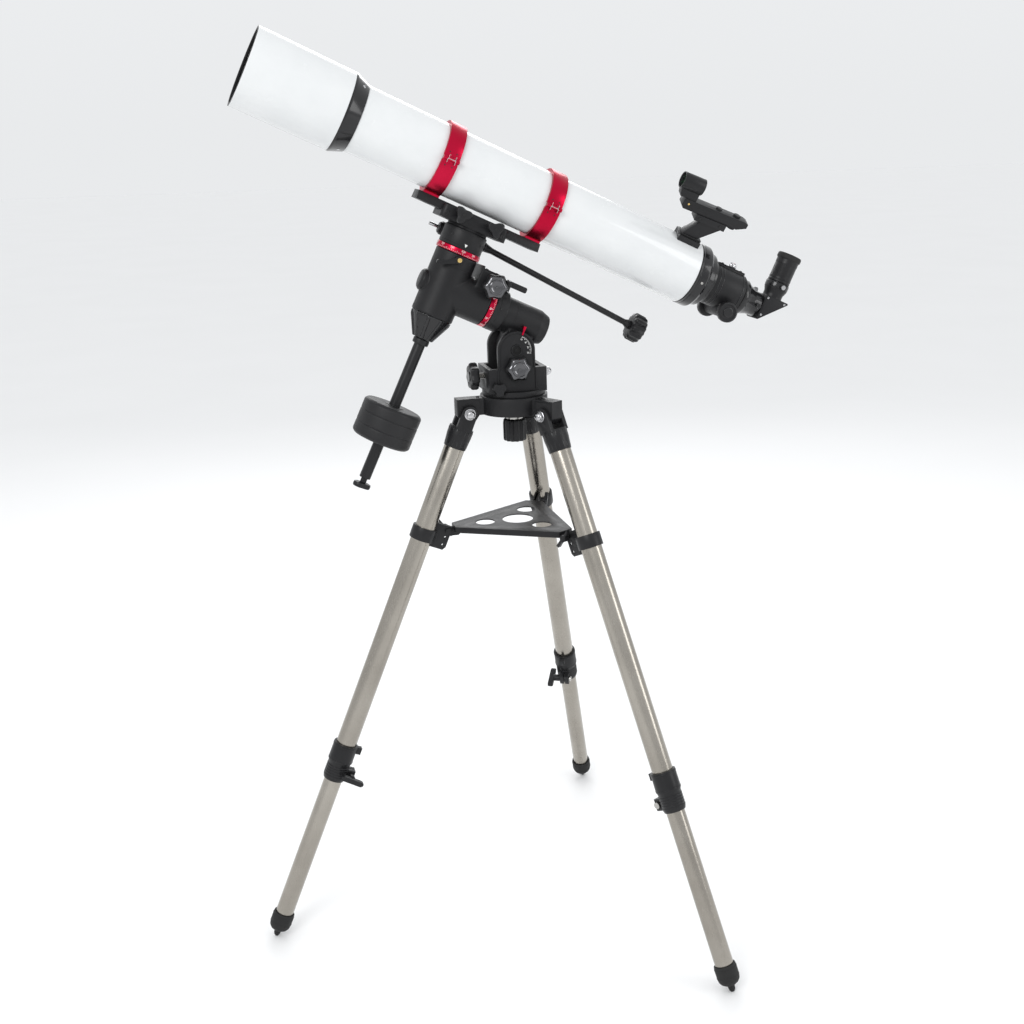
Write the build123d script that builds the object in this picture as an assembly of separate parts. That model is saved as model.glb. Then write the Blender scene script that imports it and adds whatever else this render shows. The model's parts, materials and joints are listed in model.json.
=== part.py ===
from build123d import *
import os
from math import asin, cos, pi, radians, sin

# Refractor telescope on an equatorial mount and a folding steel tripod.
# Millimetres and degrees. +Z is up, the floor is z = 0, the telescope points to -X.

# ---- where the axes are ------------------------------------------------------
AXIS_X = -22.9          # azimuth axis, from the middle of the whole object's footprint box
LATITUDE = 25.7         # tilt of the polar axis above the horizon
PIVOT_X = -2.7          # latitude pivot, from the azimuth axis
PIVOT_Z = 1010.0
PIVOT_ALONG = 142.5     # latitude pivot behind the crossing of the polar and declination axes
PIVOT_BELOW = 46.0      # polar axis above the latitude pivot
TUBE_Z = 184.0          # optical axis above the polar axis
WORM_Y = 31.0           # declination worm beside the declination axis
WORM_Z = 86.0
RA_WORM_X = 67.0        # polar worm, across and above the polar axis
RA_WORM_Z = 34.0
CLUTCH_X = -2.3         # declination clutch screw, beside the declination axis
CLUTCH_Z = 49.8
SLOW_SLOPE = 4.0        # droop of the slow-motion shaft below its worm

# ---- optical tube ------------------------------------------------------------
TUBE_R = 53.0
TUBE_BORE = 51.0
TUBE_FRONT = -243.0
TUBE_REAR = 375.0
SHIELD_R = 62.75
SHIELD_FRONT = -405.0
SHIELD_REAR = -250.0
LENS_R = 52.3
DRAW_R = 26.0
DRAW_FRONT = 330.0
DRAW_REAR = 479.0
FOCUSER_R = 35.0
FOCUSER_FRONT = 417.0
FOCUSER_REAR = 476.0
PINION_X = 455.0
PINION_R = 6.0
PINION_TEETH = 12
RACK_TEETH_FRONT = 26
RACK_TEETH_REAR = 2
BARREL_R = 15.875       # 1.25 inch accessory barrel
DIAGONAL_X = 541.0
PRISM_HALF = 22.0
FINDER_LEAN = 25.0       # finder bracket's turn about the optical axis
SIGHT_DIP = 3.5          # finder's nose-down tilt in its clamp

# ---- rings and dovetail ------------------------------------------------------
RING_X = (-78.0, 101.0)
RING_HALF = 13.0
RING_R = 58.5
FELT_R = 55.0
RING_HINGE_Y = -62.0
RING_CLAMP_Y = 66.5
BAR_BOTTOM = 111.3
BAR_TOP = 125.0

# ---- mount -------------------------------------------------------------------
DEC_R = 34.5
RA_R = 34.0
HEAD_R = 35.5
NOSE_R = 14.0
DEC_SHAFT_R = 9.0
RA_SHAFT_R = 10.0
WORM_SHAFT_R = 3.0
WORM_PITCH_R = 5.0
TOOTH_PITCH = pi
DEC_TEETH = 52
RA_TEETH = 58
WHEEL_HALF = 3.5
SLOW_LENGTH = 317.0
WEIGHT_ROD_R = 9.3
WEIGHT_R = 49.0
WEIGHT_TOP = -206.5
WEIGHT_BOTTOM = -268.5
CHEEK_IN = 28.5
CHEEK_OUT = 38.0
CHEEK_R = 31.0
LOCK_DROP = 29.0        # latitude lock bolt below the pivot
SCREW_DROP = 44.0       # altitude screws below the pivot
TONGUE_HALF = 10.0

# ---- tripod ------------------------------------------------------------------
HEAD_TOP = 933.0
HEAD_BOTTOM = 903.0
HEAD_DISC_R = 56.0
HINGE_R = 80.0
HINGE_Z = 907.0
LEG_SPLAY = 22.9
LEG_AZIMUTHS = (180.0, -60.0, 60.0)
LEG_R = 17.5
LOWER_R = 15.5
LEG_TUBE_TOP = 34.0
LEG_TUBE_END = 636.0
BAND_AT = 216.0
LOWER_TOP = 420.0
FOOT_TOP = 937.0
FOOT_TIP = 984.4
TRAY_Z = 716.0
TRAY_CORNER = 112.0

FIT = 0.05              # radial clearance of a running fit
GAP = 0.4               # free gap between pieces that move past each other

BOTTOM = (Align.CENTER, Align.CENTER, Align.MIN)


# ---- small helpers -----------------------------------------------------------
def rod(radius, start, end):
    """Solid cylinder between two points."""
    axis = Vector(*end) - Vector(*start)
    return Plane(origin=start, z_dir=axis) * Cylinder(radius, axis.length, align=BOTTOM)


def pipe(outer, inner, start, end):
    return rod(outer, start, end) - rod(inner, start, end)


def box(x, y, z):
    """Box from three (low, high) pairs."""
    size = [high - low for low, high in (x, y, z)]
    middle = [(high + low) / 2 for low, high in (x, y, z)]
    return Pos(*middle) * Box(*size)


def turned(profile, origin=(0, 0, 0), axis=(0, 0, 1)):
    """Body of revolution from (radius, height) points about an axis."""
    face = Plane.XZ * make_face(Polyline(*profile, close=True))
    body = revolve(face, axis=Axis.Z)
    return Plane(origin=origin, z_dir=axis) * body


def slab(points, low, high):
    """XZ outline with a thickness along Y."""
    outline = [(x, 0, z) for x, z in points]
    face = make_face(Polyline(*outline, close=True))
    return Pos(0, low, 0) * extrude(face, amount=high - low, dir=(0, 1, 0))


def along_x(x, y=0.0, z=TUBE_Z):
    return (x, y, z)


def group(*solids):
    """Separate solids kept in one node."""
    parts = []
    for solid in solids:
        parts.extend(solid.solids())
    return Compound(parts)


def lobed(radius, thickness, lobes, depth, origin, axis, bore=0.0):
    """Knob with scooped flutes between its lobes."""
    knob = Cylinder(radius, thickness, align=BOTTOM)
    knob = chamfer(knob.edges().filter_by(GeomType.CIRCLE), thickness * 0.12)
    scoop = radius * 2.6 / lobes
    for index in range(lobes):
        angle = 2 * pi * (index + 0.5) / lobes
        reach = radius + scoop - depth
        place = Pos(reach * cos(angle), reach * sin(angle), 0)
        knob -= place * Cylinder(scoop, thickness, align=BOTTOM)
    if bore:
        knob -= Cylinder(bore, thickness, align=BOTTOM)
    return Plane(origin=origin, z_dir=axis) * knob


def gear(pitch_r, teeth, thickness, bore):
    """Spur gear of module 1 with a gap between teeth facing local +X."""
    step = 2 * pi / teeth
    flank = ((pitch_r - 1.2, 0.8), (pitch_r, 0.5), (pitch_r + 0.8, 0.25))
    outline = []
    for index in range(teeth):
        middle = (index + 0.5) * step
        rising = [(r, middle - half / r) for r, half in flank]
        falling = [(r, middle + half / r) for r, half in reversed(flank)]
        outline += [(r * cos(a), r * sin(a)) for r, a in rising + falling]
    blank = extrude(make_face(Polyline(*outline, close=True)), amount=thickness)
    return blank - Cylinder(bore, thickness, align=BOTTOM)


def worm(length_teeth, half_shaft_low, half_shaft_high):
    """Right-hand worm along local Z with a thread crossing local +X at z = 0."""
    height = length_teeth * TOOTH_PITCH
    helix = Pos(0, 0, -height / 2) * Helix(pitch=TOOTH_PITCH, height=height, radius=WORM_PITCH_R)
    outline = [(3.6, -0.68), (5.9, -0.25), (5.9, 0.25), (3.6, 0.68)]
    start = [(r, 0, h - height / 2) for r, h in outline]
    thread = sweep(make_face(Polyline(*start, close=True)), path=helix, is_frenet=True)
    core = Pos(0, 0, -height / 2 - 1) * Cylinder(3.8, height + 2, align=BOTTOM)
    shaft = rod(WORM_SHAFT_R, (0, 0, half_shaft_low), (0, 0, half_shaft_high))
    return core + thread + shaft


# ---- optical tube assembly (polar frame: x to the rear, z up, tube parallel to x)
def main_tube():
    return pipe(TUBE_R, TUBE_BORE, along_x(TUBE_FRONT), along_x(TUBE_REAR))


def dew_shield():
    shell = pipe(SHIELD_R, SHIELD_R - 2, along_x(SHIELD_FRONT), along_x(SHIELD_REAR))
    lip = pipe(SHIELD_R - 2, SHIELD_R - 4, along_x(SHIELD_FRONT), along_x(SHIELD_FRONT + 3))
    return shell + lip


def objective_cell():
    profile = [
        (TUBE_R + FIT, -225.6),
        (TUBE_R + 1.5, -225.6),
        (SHIELD_R - 0.15, -246.0),
        (SHIELD_R - 0.15, SHIELD_REAR),
        (SHIELD_R - 2.05, SHIELD_REAR),
        (SHIELD_R - 2.05, -276.0),
        (LENS_R + 0.1, -276.0),
        (LENS_R + 0.1, -250.0),
        (50.0, -250.0),
        (50.0, TUBE_FRONT),
        (TUBE_R + FIT, TUBE_FRONT),
    ]
    cell = turned(profile, along_x(0), (1, 0, 0))
    retainer = pipe(LENS_R, 48.5, along_x(-273), along_x(-266.8))
    return group(cell, retainer)


def lens_arc(radius, edge, sag):
    """Half of a spherical face, from its rim at height edge to the axis."""
    sphere = (radius * radius + sag * sag) / (2 * abs(sag))
    half = asin(radius / sphere) / 2
    drop = sphere * (1 - cos(half))
    middle = edge + sag - (drop if sag > 0 else -drop)
    return ThreePointArc((radius, edge), (sphere * sin(half), middle), (0, edge + sag))


def lens(radius, front, rear, front_sag, rear_sag):
    """Lens blank along local z, each face bulging by its own sag at the axis."""
    edges = [
        Line((radius, front), (radius, rear)),
        lens_arc(radius, rear, rear_sag),
        Line((0, rear + rear_sag), (0, front + front_sag)),
        lens_arc(radius, front, front_sag),
    ]
    return revolve(Plane.XZ * make_face(edges), axis=Axis.Z)


def objective_lenses():
    place = Plane(origin=along_x(0), z_dir=(1, 0, 0))
    crown = place * lens(LENS_R, -266.0, -257.0, -3.5, 2.4)
    flint = place * lens(LENS_R, -256.6, -250.1, 2.6, 0.6)
    return group(crown, flint)


def tube_baffles():
    rings = []
    for x, opening in ((-100.0, 44.0), (60.0, 37.0), (220.0, 31.0)):
        profile = [
            (opening, x),
            (TUBE_BORE - FIT, x),
            (TUBE_BORE - FIT, x + 9),
            (TUBE_BORE - 1.5, x + 9),
            (TUBE_BORE - 1.5, x + 1.6),
            (opening, x + 1.6),
        ]
        rings.append(turned(profile, along_x(0), (1, 0, 0)))
    return group(*rings)


def rear_cell():
    profile = [
        (45.0, 362.0),
        (TUBE_BORE - FIT, 362.0),
        (TUBE_BORE - FIT, TUBE_REAR),
        (TUBE_R + 0.6, TUBE_REAR),
        (TUBE_R + 0.6, 394.0),
        (50.0, 398.0),
        (46.5, 400.0),
        (45.5, 409.0),
        (37.5, 412.0),
        (37.5, FOCUSER_FRONT),
        (30.0, FOCUSER_FRONT),
        (30.0, 402.0),
        (45.0, 396.0),
    ]
    return turned(profile, along_x(0), (1, 0, 0))


def focuser_body():
    body = rod(FOCUSER_R, along_x(FOCUSER_FRONT), along_x(FOCUSER_REAR))
    body += rod(30.0, along_x(402), along_x(FOCUSER_FRONT))
    pinion_z = TUBE_Z - DRAW_R - 2.5 - PINION_R
    body += rod(11.0, (PINION_X, -33, pinion_z), (PINION_X, 33, pinion_z))
    body += box((PINION_X - 11, PINION_X + 11), (-24, 24), (pinion_z, pinion_z + 12))
    body += box((420, 473), (-9, 9), (TUBE_Z + 30, TUBE_Z + 37.5))
    body -= rod(DRAW_R + FIT, along_x(400), along_x(FOCUSER_REAR + 1))
    body -= box((400, 478), (-4.5, 4.5), (TUBE_Z - 34, TUBE_Z - 20))
    body -= rod(7.6, (PINION_X, -6, pinion_z), (PINION_X, 6, pinion_z))
    body -= rod(WORM_SHAFT_R + FIT, (PINION_X, -40, pinion_z), (PINION_X, 40, pinion_z))
    body -= rod(2.5 + FIT, (450, 0, TUBE_Z), (450, 0, TUBE_Z + 50))
    screws = [rod(2.0, (x, -6, TUBE_Z + 37.5), (x, -6, TUBE_Z + 38.6)) for x in (430, 465)]
    return group(body, *screws)


def rack():
    """Rack screwed under the drawtube; a gap faces the pinion at PINION_X."""
    pitch_line = TUBE_Z - DRAW_R - 2.5
    first = PINION_X - (RACK_TEETH_FRONT - 0.5) * pi
    last = PINION_X + (RACK_TEETH_REAR - 0.5) * pi
    points = [(first - 2.5, pitch_line + 1.2)]
    for index in range(RACK_TEETH_FRONT + RACK_TEETH_REAR):
        x = first + index * pi
        points += [(x - 1.0, pitch_line + 1.2), (x - 0.3, pitch_line - 0.8)]
        points += [(x + 0.3, pitch_line - 0.8), (x + 1.0, pitch_line + 1.2)]
    points += [(last + 2.5, pitch_line + 1.2), (last + 2.5, pitch_line + 4)]
    points += [(first - 2.5, pitch_line + 4)]
    bar = slab(points, -4, 4)
    return bar - rod(DRAW_R, along_x(300), along_x(500))


def drawtube():
    tube = pipe(DRAW_R, DRAW_R - 2, along_x(DRAW_FRONT), along_x(DRAW_REAR))
    profile = [
        (20.0, 470.0),
        (DRAW_R - 2, 470.0),
        (DRAW_R - 2, DRAW_REAR),
        (31.0, DRAW_REAR),
        (31.0, 487.0),
        (28.0, 491.0),
        (22.0, 505.0),
        (21.0, 519.0),
        (BARREL_R + FIT, 519.0),
        (BARREL_R + FIT, 489.0),
        (20.0, 487.0),
    ]
    back = turned(profile, along_x(0), (1, 0, 0))
    screws = []
    for angle in (-95.0, 25.0):
        out = Vector(0, sin(radians(angle)), cos(radians(angle)))
        foot = Vector(512, 0, TUBE_Z)
        shank = rod(2.0, foot + out * (BARREL_R + GAP), foot + out * 25)
        head = rod(4.2, foot + out * 23, foot + out * 29)
        back -= rod(2.0, foot + out * 10, foot + out * 25)
        screws.append(shank + head)
    return group(tube, rack(), back, *screws)


def focus_pinion():
    pinion_z = TUBE_Z - DRAW_R - 2.5 - PINION_R
    step = 2 * pi / PINION_TEETH
    flank = ((4.8, 0.95), (PINION_R, 0.62), (6.95, 0.3))
    outline = []
    for index in range(PINION_TEETH):
        middle = index * step + pi / 2
        rising = [(r, middle - half / r) for r, half in flank]
        falling = [(r, middle + half / r) for r, half in reversed(flank)]
        outline += [(r * cos(a), r * sin(a)) for r, a in rising + falling]
    teeth = extrude(make_face(Polyline(*outline, close=True)), amount=9.2)
    place = Plane(origin=(PINION_X, 4.6, pinion_z), x_dir=(1, 0, 0), z_dir=(0, -1, 0))
    shaft = rod(WORM_SHAFT_R, (PINION_X, -49, pinion_z), (PINION_X, 49, pinion_z))
    shaft += place * teeth
    knobs = []
    for side in (-1, 1):
        face = (PINION_X, side * 37, pinion_z)
        knobs.append(lobed(17.5, 13, 24, 0.9, face, (0, side, 0), WORM_SHAFT_R))
        knobs.append(rod(8, (PINION_X, side * 33.6, pinion_z), face) - shaft)
    return group(shaft, knobs[0] + knobs[1], knobs[2] + knobs[3])


def drawtube_lock():
    tip = TUBE_Z + DRAW_R + GAP
    shank = rod(2.5, (450, 0, tip), (450, 0, TUBE_Z + 43))
    return shank + lobed(6, 8, 12, 0.5, (450, 0, TUBE_Z + 39), (0, 0, 1))


def diagonal_body():
    x, z, half = 543.0, TUBE_Z, PRISM_HALF
    prism = slab([(x - half, z + half), (x + half, z + half), (x - half, z - half)], -21, 21)
    slope = Plane(origin=(x, 0, z), x_dir=(0, 1, 0), z_dir=(1, 0, -1))
    holder = [
        (17.0, z + 18),
        (17.0, z + 30),
        (20.2, z + 38),
        (20.2, z + 49),
        (BARREL_R + FIT, z + 49),
        (BARREL_R + FIT, z + 24),
        (14.0, z + 24),
        (14.0, z + 18),
    ]
    body = prism + turned(holder, (DIAGONAL_X, 0, 0))
    body += rod(BARREL_R, along_x(490), along_x(522))
    body -= rod(13.5, along_x(489), along_x(DIAGONAL_X))
    body -= rod(14.0, (DIAGONAL_X, 0, z), (DIAGONAL_X, 0, z + 30))
    body -= slope * Pos(0, 0, -6) * Box(34, 46, 6.1, align=BOTTOM)
    cover = slope * Box(41, 60, 2, align=BOTTOM)
    set_screw = rod(2.0, (DIAGONAL_X, -BARREL_R - GAP, z + 43), (DIAGONAL_X, -28, z + 43))
    body -= rod(2.0, (DIAGONAL_X, -10, z + 43), (DIAGONAL_X, -28, z + 43))
    set_screw += rod(4.2, (DIAGONAL_X, -22, z + 43), (DIAGONAL_X, -28, z + 43))
    return group(body, cover, set_screw)


def diagonal_mirror():
    slope = Plane(origin=(543.0, 0, TUBE_Z), x_dir=(0, 1, 0), z_dir=(1, 0, -1))
    return slope * Pos(0, 0, -6) * Box(33.6, 45.4, 5.9, align=BOTTOM)


def eyepiece():
    z = TUBE_Z
    profile = [
        (13.5, z + 25),
        (BARREL_R, z + 25),
        (BARREL_R, z + 49.4),
        (19.3, z + 49.4),
        (19.3, z + 90),
        (20.8, z + 92.5),
        (20.8, z + 98),
        (19.4, z + 99.5),
        (10.0, z + 99.5),
        (8.5, z + 95),
        (13.5, z + 95),
    ]
    shell = turned(profile, (DIAGONAL_X, 0, 0))
    place = Pos(DIAGONAL_X, 0, 0)
    field = place * lens(13.45, z + 52, z + 56, -1.2, 1.2)
    eye = place * lens(13.45, z + 84, z + 91, -2.5, 2.5)
    return group(shell, field, eye)


def leaned(solid):
    """From the finder frame, radial about the tube, to the polar frame."""
    return Location((0, 0, TUBE_Z), (FINDER_LEAN, 0, 0)) * solid


def dipped(solid):
    """Turned nose-down about the middle of the finder's clamp."""
    return Pos(356, 0, 104) * Rot(0, -SIGHT_DIP, 0) * Pos(-356, 0, -104) * solid


def finder_bracket():
    shoe = box((323, 363), (-16, 16), (46, 60))
    shoe -= rod(TUBE_R, (300, 0, 0), (400, 0, 0))
    shoe -= box((322, 364), (-11, 11), (56, 61))
    foot = box((323, 363), (-10.8, 10.8), (56, 63))
    stem = slab([(328, 63), (356, 63), (384, 95), (346, 95)], -8, 8)
    clamp = dipped(box((330, 386), (-12.5, 12.5), (93, 104)))
    bracket = foot + stem + clamp
    screw = rod(3, (343, 12, 58), (343, 22, 58)) + rod(7, (343, 18, 58), (343, 26, 58))
    shoe -= rod(3, (343, 12, 58), (343, 22, 58))
    return leaned(group(shoe, bracket, screw))


def finder_body():
    outline = [(299, 108), (303, 104), (404, 104), (419, 112), (419, 119), (412, 121), (299, 121)]
    body = slab(outline, -11, 11)
    neck = slab([(290, 121), (319, 121), (319, 134), (286, 134)], -9, 9)
    hood = rod(13.5, (283, 0, 144.5), (321, 0, 144.5))
    body += neck + hood
    body -= rod(12, (270, 0, 144.5), (330, 0, 144.5))
    body += rod(5.5, (364, 0, 119), (364, 0, 124))
    wheel = pipe(8, 2.5, (410, 13, 106), (410, 17.5, 106)) + rod(2.5, (410, 11, 106), (410, 17.5, 106))
    return leaned(dipped(group(body, wheel)))


# ---- rings, dovetail and saddle ----------------------------------------------
def ring_hoop(centre, low, high):
    """Half a ring and its felt, between two heights from the optical axis."""
    start, end = along_x(centre - RING_HALF), along_x(centre + RING_HALF)
    keep = box((centre - 20, centre + 20), (-80, 80), (TUBE_Z + low, TUBE_Z + high))
    hoop = pipe(RING_R, FELT_R, start, end) & keep
    felt_keep = box((centre - 12, centre + 12), (-80, 80), (TUBE_Z + low, TUBE_Z + high))
    felt = pipe(FELT_R, TUBE_R + FIT, start, end) & felt_keep
    return hoop, felt


def ring_lower(centre):
    hoop, felt = ring_hoop(centre, -70, -0.5)
    foot = box((centre - 13, centre + 13), (-18, 18), (BAR_TOP, BAR_TOP + 16))
    hoop += foot - rod(FELT_R + 1, along_x(centre - 20), along_x(centre + 20))
    hoop += box((centre - 8, centre + 8), (56.8, 74), (TUBE_Z - 10, TUBE_Z - 0.5))
    for low, high in ((-13.0, -6.3), (6.3, 13.0)):
        start = (centre + low, RING_HINGE_Y, TUBE_Z)
        end = (centre + high, RING_HINGE_Y, TUBE_Z)
        hoop += box((centre + low, centre + high), (RING_HINGE_Y, -57), (TUBE_Z - 3, TUBE_Z - 0.6))
        hoop += rod(3, start, end)
    pin_ends = ((centre - 13, RING_HINGE_Y, TUBE_Z), (centre + 13, RING_HINGE_Y, TUBE_Z))
    pin = rod(1.2, *pin_ends)
    hoop -= pin
    hoop -= rod(4, (centre, RING_CLAMP_Y, TUBE_Z - 20), (centre, RING_CLAMP_Y, TUBE_Z))
    hoop -= rod(4, (centre, 0, BAR_TOP - 5), (centre, 0, BAR_TOP + 3.4))
    return group(hoop, felt, pin)


def ring_upper(centre):
    hoop, felt = ring_hoop(centre, 0.5, 70)
    hoop += box((centre - 8, centre + 8), (56.8, 74), (TUBE_Z + 0.5, TUBE_Z + 10))
    start = (centre - 6, RING_HINGE_Y, TUBE_Z)
    end = (centre + 6, RING_HINGE_Y, TUBE_Z)
    hoop += box((centre - 6, centre + 6), (RING_HINGE_Y, -57), (TUBE_Z + 0.6, TUBE_Z + 3))
    hoop += rod(3, start, end)
    hoop -= rod(1.2 + FIT, start, end)
    foot = (centre, RING_CLAMP_Y, TUBE_Z - 14)
    hoop -= rod(3, foot, (centre, RING_CLAMP_Y, TUBE_Z + 20))
    knob_face = (centre, RING_CLAMP_Y, TUBE_Z + 10)
    screw = rod(3, foot, knob_face) + lobed(9.5, 13, 14, 0.6, knob_face, (0, 0, 1))
    return group(hoop, felt, screw)


def dovetail_bar():
    section = [(-22.0, BAR_BOTTOM), (22.0, BAR_BOTTOM), (18.4, BAR_TOP), (-18.4, BAR_TOP)]
    face = Plane.YZ * make_face(Polyline(*section, close=True))
    bar = Pos(-98, 0, 0) * extrude(face, amount=214)
    bolts = []
    for centre in RING_X:
        hole = rod(4, (centre, 0, BAR_BOTTOM + 5), (centre, 0, BAR_TOP + 3.4))
        recess = rod(7, (centre, 0, BAR_BOTTOM), (centre, 0, BAR_BOTTOM + 5))
        bar = bar - hole - recess
        bolts.append(hole + rod(6.5, (centre, 0, BAR_BOTTOM + 0.5), (centre, 0, BAR_BOTTOM + 5)))
    return group(bar, *bolts)


def saddle():
    body = box((-56, 57), (-34, 34), (102, 111))
    far_wall = [(34, 111), (22.5, 111), (19.6, 122), (34, 122)]
    near_wall = [(-34, 111), (-23.2, 111), (-23.2, 122), (-34, 122)]
    for section in (far_wall, near_wall):
        face = Plane.YZ * make_face(Polyline(*section, close=True))
        body += Pos(-56, 0, 0) * extrude(face, amount=113)
    corners = body.edges().filter_by(Axis.Z).sort_by(Axis.Y)
    body = fillet(corners[:2] + corners[-2:], 8)
    for x in (-26, 31):
        body -= rod(3, (x, -45, 116), (x, -20, 116))
    return body


def saddle_knobs():
    screws = []
    for x in (-26, 31):
        screw = rod(3, (x, -46, 116), (x, -22.0, 116))
        screw += rod(6.5, (x, -46, 116), (x, -34.5, 116))
        screw += lobed(14.5, 10, 3, 4.5, (x, -44, 116), (0, -1, 0))
        screws.append(screw)
    return group(*screws)


# ---- declination axis --------------------------------------------------------
def dec_head():
    drum = [(0, 67.4), (HEAD_R, 67.4), (HEAD_R, 96), (33.0, 98), (33.0, 102), (0, 102)]
    body = turned(drum)
    body += rod(11, (-34, WORM_Y, WORM_Z), (34, WORM_Y, WORM_Z))
    cavity = [(0, 60), (30, 60), (30, 91.6), (0, 91.6)]
    body -= turned(cavity)
    body -= rod(DEC_SHAFT_R, (0, 0, 90), (0, 0, 102))
    body -= rod(6.7, (-14, WORM_Y, WORM_Z), (14, WORM_Y, WORM_Z))
    body -= rod(WORM_SHAFT_R + FIT, (-40, WORM_Y, WORM_Z), (40, WORM_Y, WORM_Z))
    return body


def dec_shaft():
    shaft = rod(DEC_SHAFT_R, (0, 0, -38), (0, 0, 102))
    return shaft + rod(14, (0, 0, -38), (0, 0, -30 - GAP))


def dec_circle():
    return pipe(36.5, 32 + FIT, (0, 0, 58), (0, 0, 67))


def dec_worm_wheel():
    wheel = gear(DEC_TEETH / 2, DEC_TEETH, 2 * WHEEL_HALF, NOSE_R + FIT)
    return Plane(origin=(0, 0, WORM_Z - WHEEL_HALF), x_dir=(0, 1, 0), z_dir=(0, 0, 1)) * wheel


def dec_worm():
    place = Plane(origin=(0, WORM_Y, WORM_Z), x_dir=(0, -1, 0), z_dir=(1, 0, 0))
    return place * worm(6, -54, 40)


def dec_control_shaft():
    slope = radians(SLOW_SLOPE)
    profile = [
        (0, 1.0),
        (8.5, 1.0),
        (8.5, 4),
        (5.2, 14),
        (5.2, SLOW_LENGTH - 34),
        (7.5, SLOW_LENGTH - 30),
        (7.5, SLOW_LENGTH - 24),
        (0, SLOW_LENGTH - 24),
    ]
    outward = (cos(slope), 0, -sin(slope))
    start = (40, WORM_Y, WORM_Z)
    sleeve = turned(profile, start, outward)
    face = Vector(*start) + Vector(*outward) * (SLOW_LENGTH - 24)
    knob = lobed(24, 24, 12, 2.6, face, outward)
    return group(sleeve, knob)


def dec_clutch():
    screw = rod(3, (CLUTCH_X, -43, CLUTCH_Z), (CLUTCH_X, -22, CLUTCH_Z))
    screw += rod(6.5, (CLUTCH_X, -43, CLUTCH_Z), (CLUTCH_X, -35, CLUTCH_Z))
    upper = [(-2, 55), (-13, 47), (-19, 43.4), (-27, 40.4), (-33.5, 38.6), (-35.4, 35.2)]
    lower = [(-33, 32), (-28, 33), (-20, 36.4), (-14, 39.2), (-2, 45)]
    return screw + slab(upper + lower, -42, -37.4)


# ---- polar axis --------------------------------------------------------------
def polar_casting():
    body = rod(DEC_R, (0, 0, -48), (0, 0, 57.6))
    body += rod(RA_R, (0, 0, 0), (73.4, 0, 0))
    body += turned([(0, 30), (18, 30), (18, 38), (14, 41.5), (0, 42.5)], axis=(-1, 0, 0))
    body += box((45, 84), (-27, 27), (20, 53)) + box((41, 45), (-27, 27), (20, 58))
    body -= box((73.4, 90), (-30, 30), (0, 36.5))
    body += rod(32, (0, 0, 57.6), (0, 0, 66.5)) + rod(NOSE_R, (0, 0, 66), (0, 0, 91))
    body -= rod(DEC_SHAFT_R + FIT, (0, 0, -30), (0, 0, 92))
    body -= rod(22, (0, 0, -49), (0, 0, -30))
    body -= rod(31, (58, 0, 0), (74, 0, 0))
    body -= rod(RA_SHAFT_R, (14, 0, 0), (58, 0, 0))
    body -= rod(6.7, (RA_WORM_X, -14, RA_WORM_Z), (RA_WORM_X, 14, RA_WORM_Z))
    body -= rod(WORM_SHAFT_R + FIT, (RA_WORM_X, -30, RA_WORM_Z), (RA_WORM_X, 30, RA_WORM_Z))
    body -= rod(3 + FIT, (CLUTCH_X, -40, CLUTCH_Z), (CLUTCH_X, -20, CLUTCH_Z))
    return body


def counterweight_cone():
    body = turned([(0, -40), (21.9, -40), (21.9, -48), (33.5, -48), (32, -53), (15, -88), (0, -88)])
    for index in range(10):
        fin = slab([(8, -50), (34.5, -50), (33.5, -56), (17.5, -88), (8, -88)], -2.2, 2.2)
        body += Rot(0, 0, 36 * index) * fin
    return body - rod(WEIGHT_ROD_R, (0, 0, -89), (0, 0, -66))


def ra_shaft():
    shaft = rod(RA_SHAFT_R, (14, 0, 0), (166, 0, 0))
    return shaft + rod(13, (160 + GAP, 0, 0), (167, 0, 0))


def ra_worm_wheel():
    wheel = gear(RA_TEETH / 2, RA_TEETH, 2 * WHEEL_HALF, NOSE_R + FIT)
    place = Plane(origin=(RA_WORM_X - WHEEL_HALF, 0, 0), x_dir=(0, 0, 1), z_dir=(1, 0, 0))
    return place * wheel


def ra_worm():
    place = Plane(origin=(RA_WORM_X, 0, RA_WORM_Z), x_dir=(0, 0, -1), z_dir=(0, 1, 0))
    shaft = place * worm(6, -40, 31)
    face = (RA_WORM_X, -37, RA_WORM_Z)
    knob = lobed(21, 14, 6, 3.2, face, (0, -1, 0), WORM_SHAFT_R)
    knob += rod(8, (RA_WORM_X, -27 - GAP, RA_WORM_Z), face) - shaft
    dome = turned([(0, 14), (15, 14), (14, 17), (9, 20), (0, 21)], face, (0, -1, 0))
    return group(shaft, knob + (dome - shaft))


def ra_circle():
    return pipe(RA_R, 30 + FIT, (74.2, 0, 0), (83.2, 0, 0))


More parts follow.
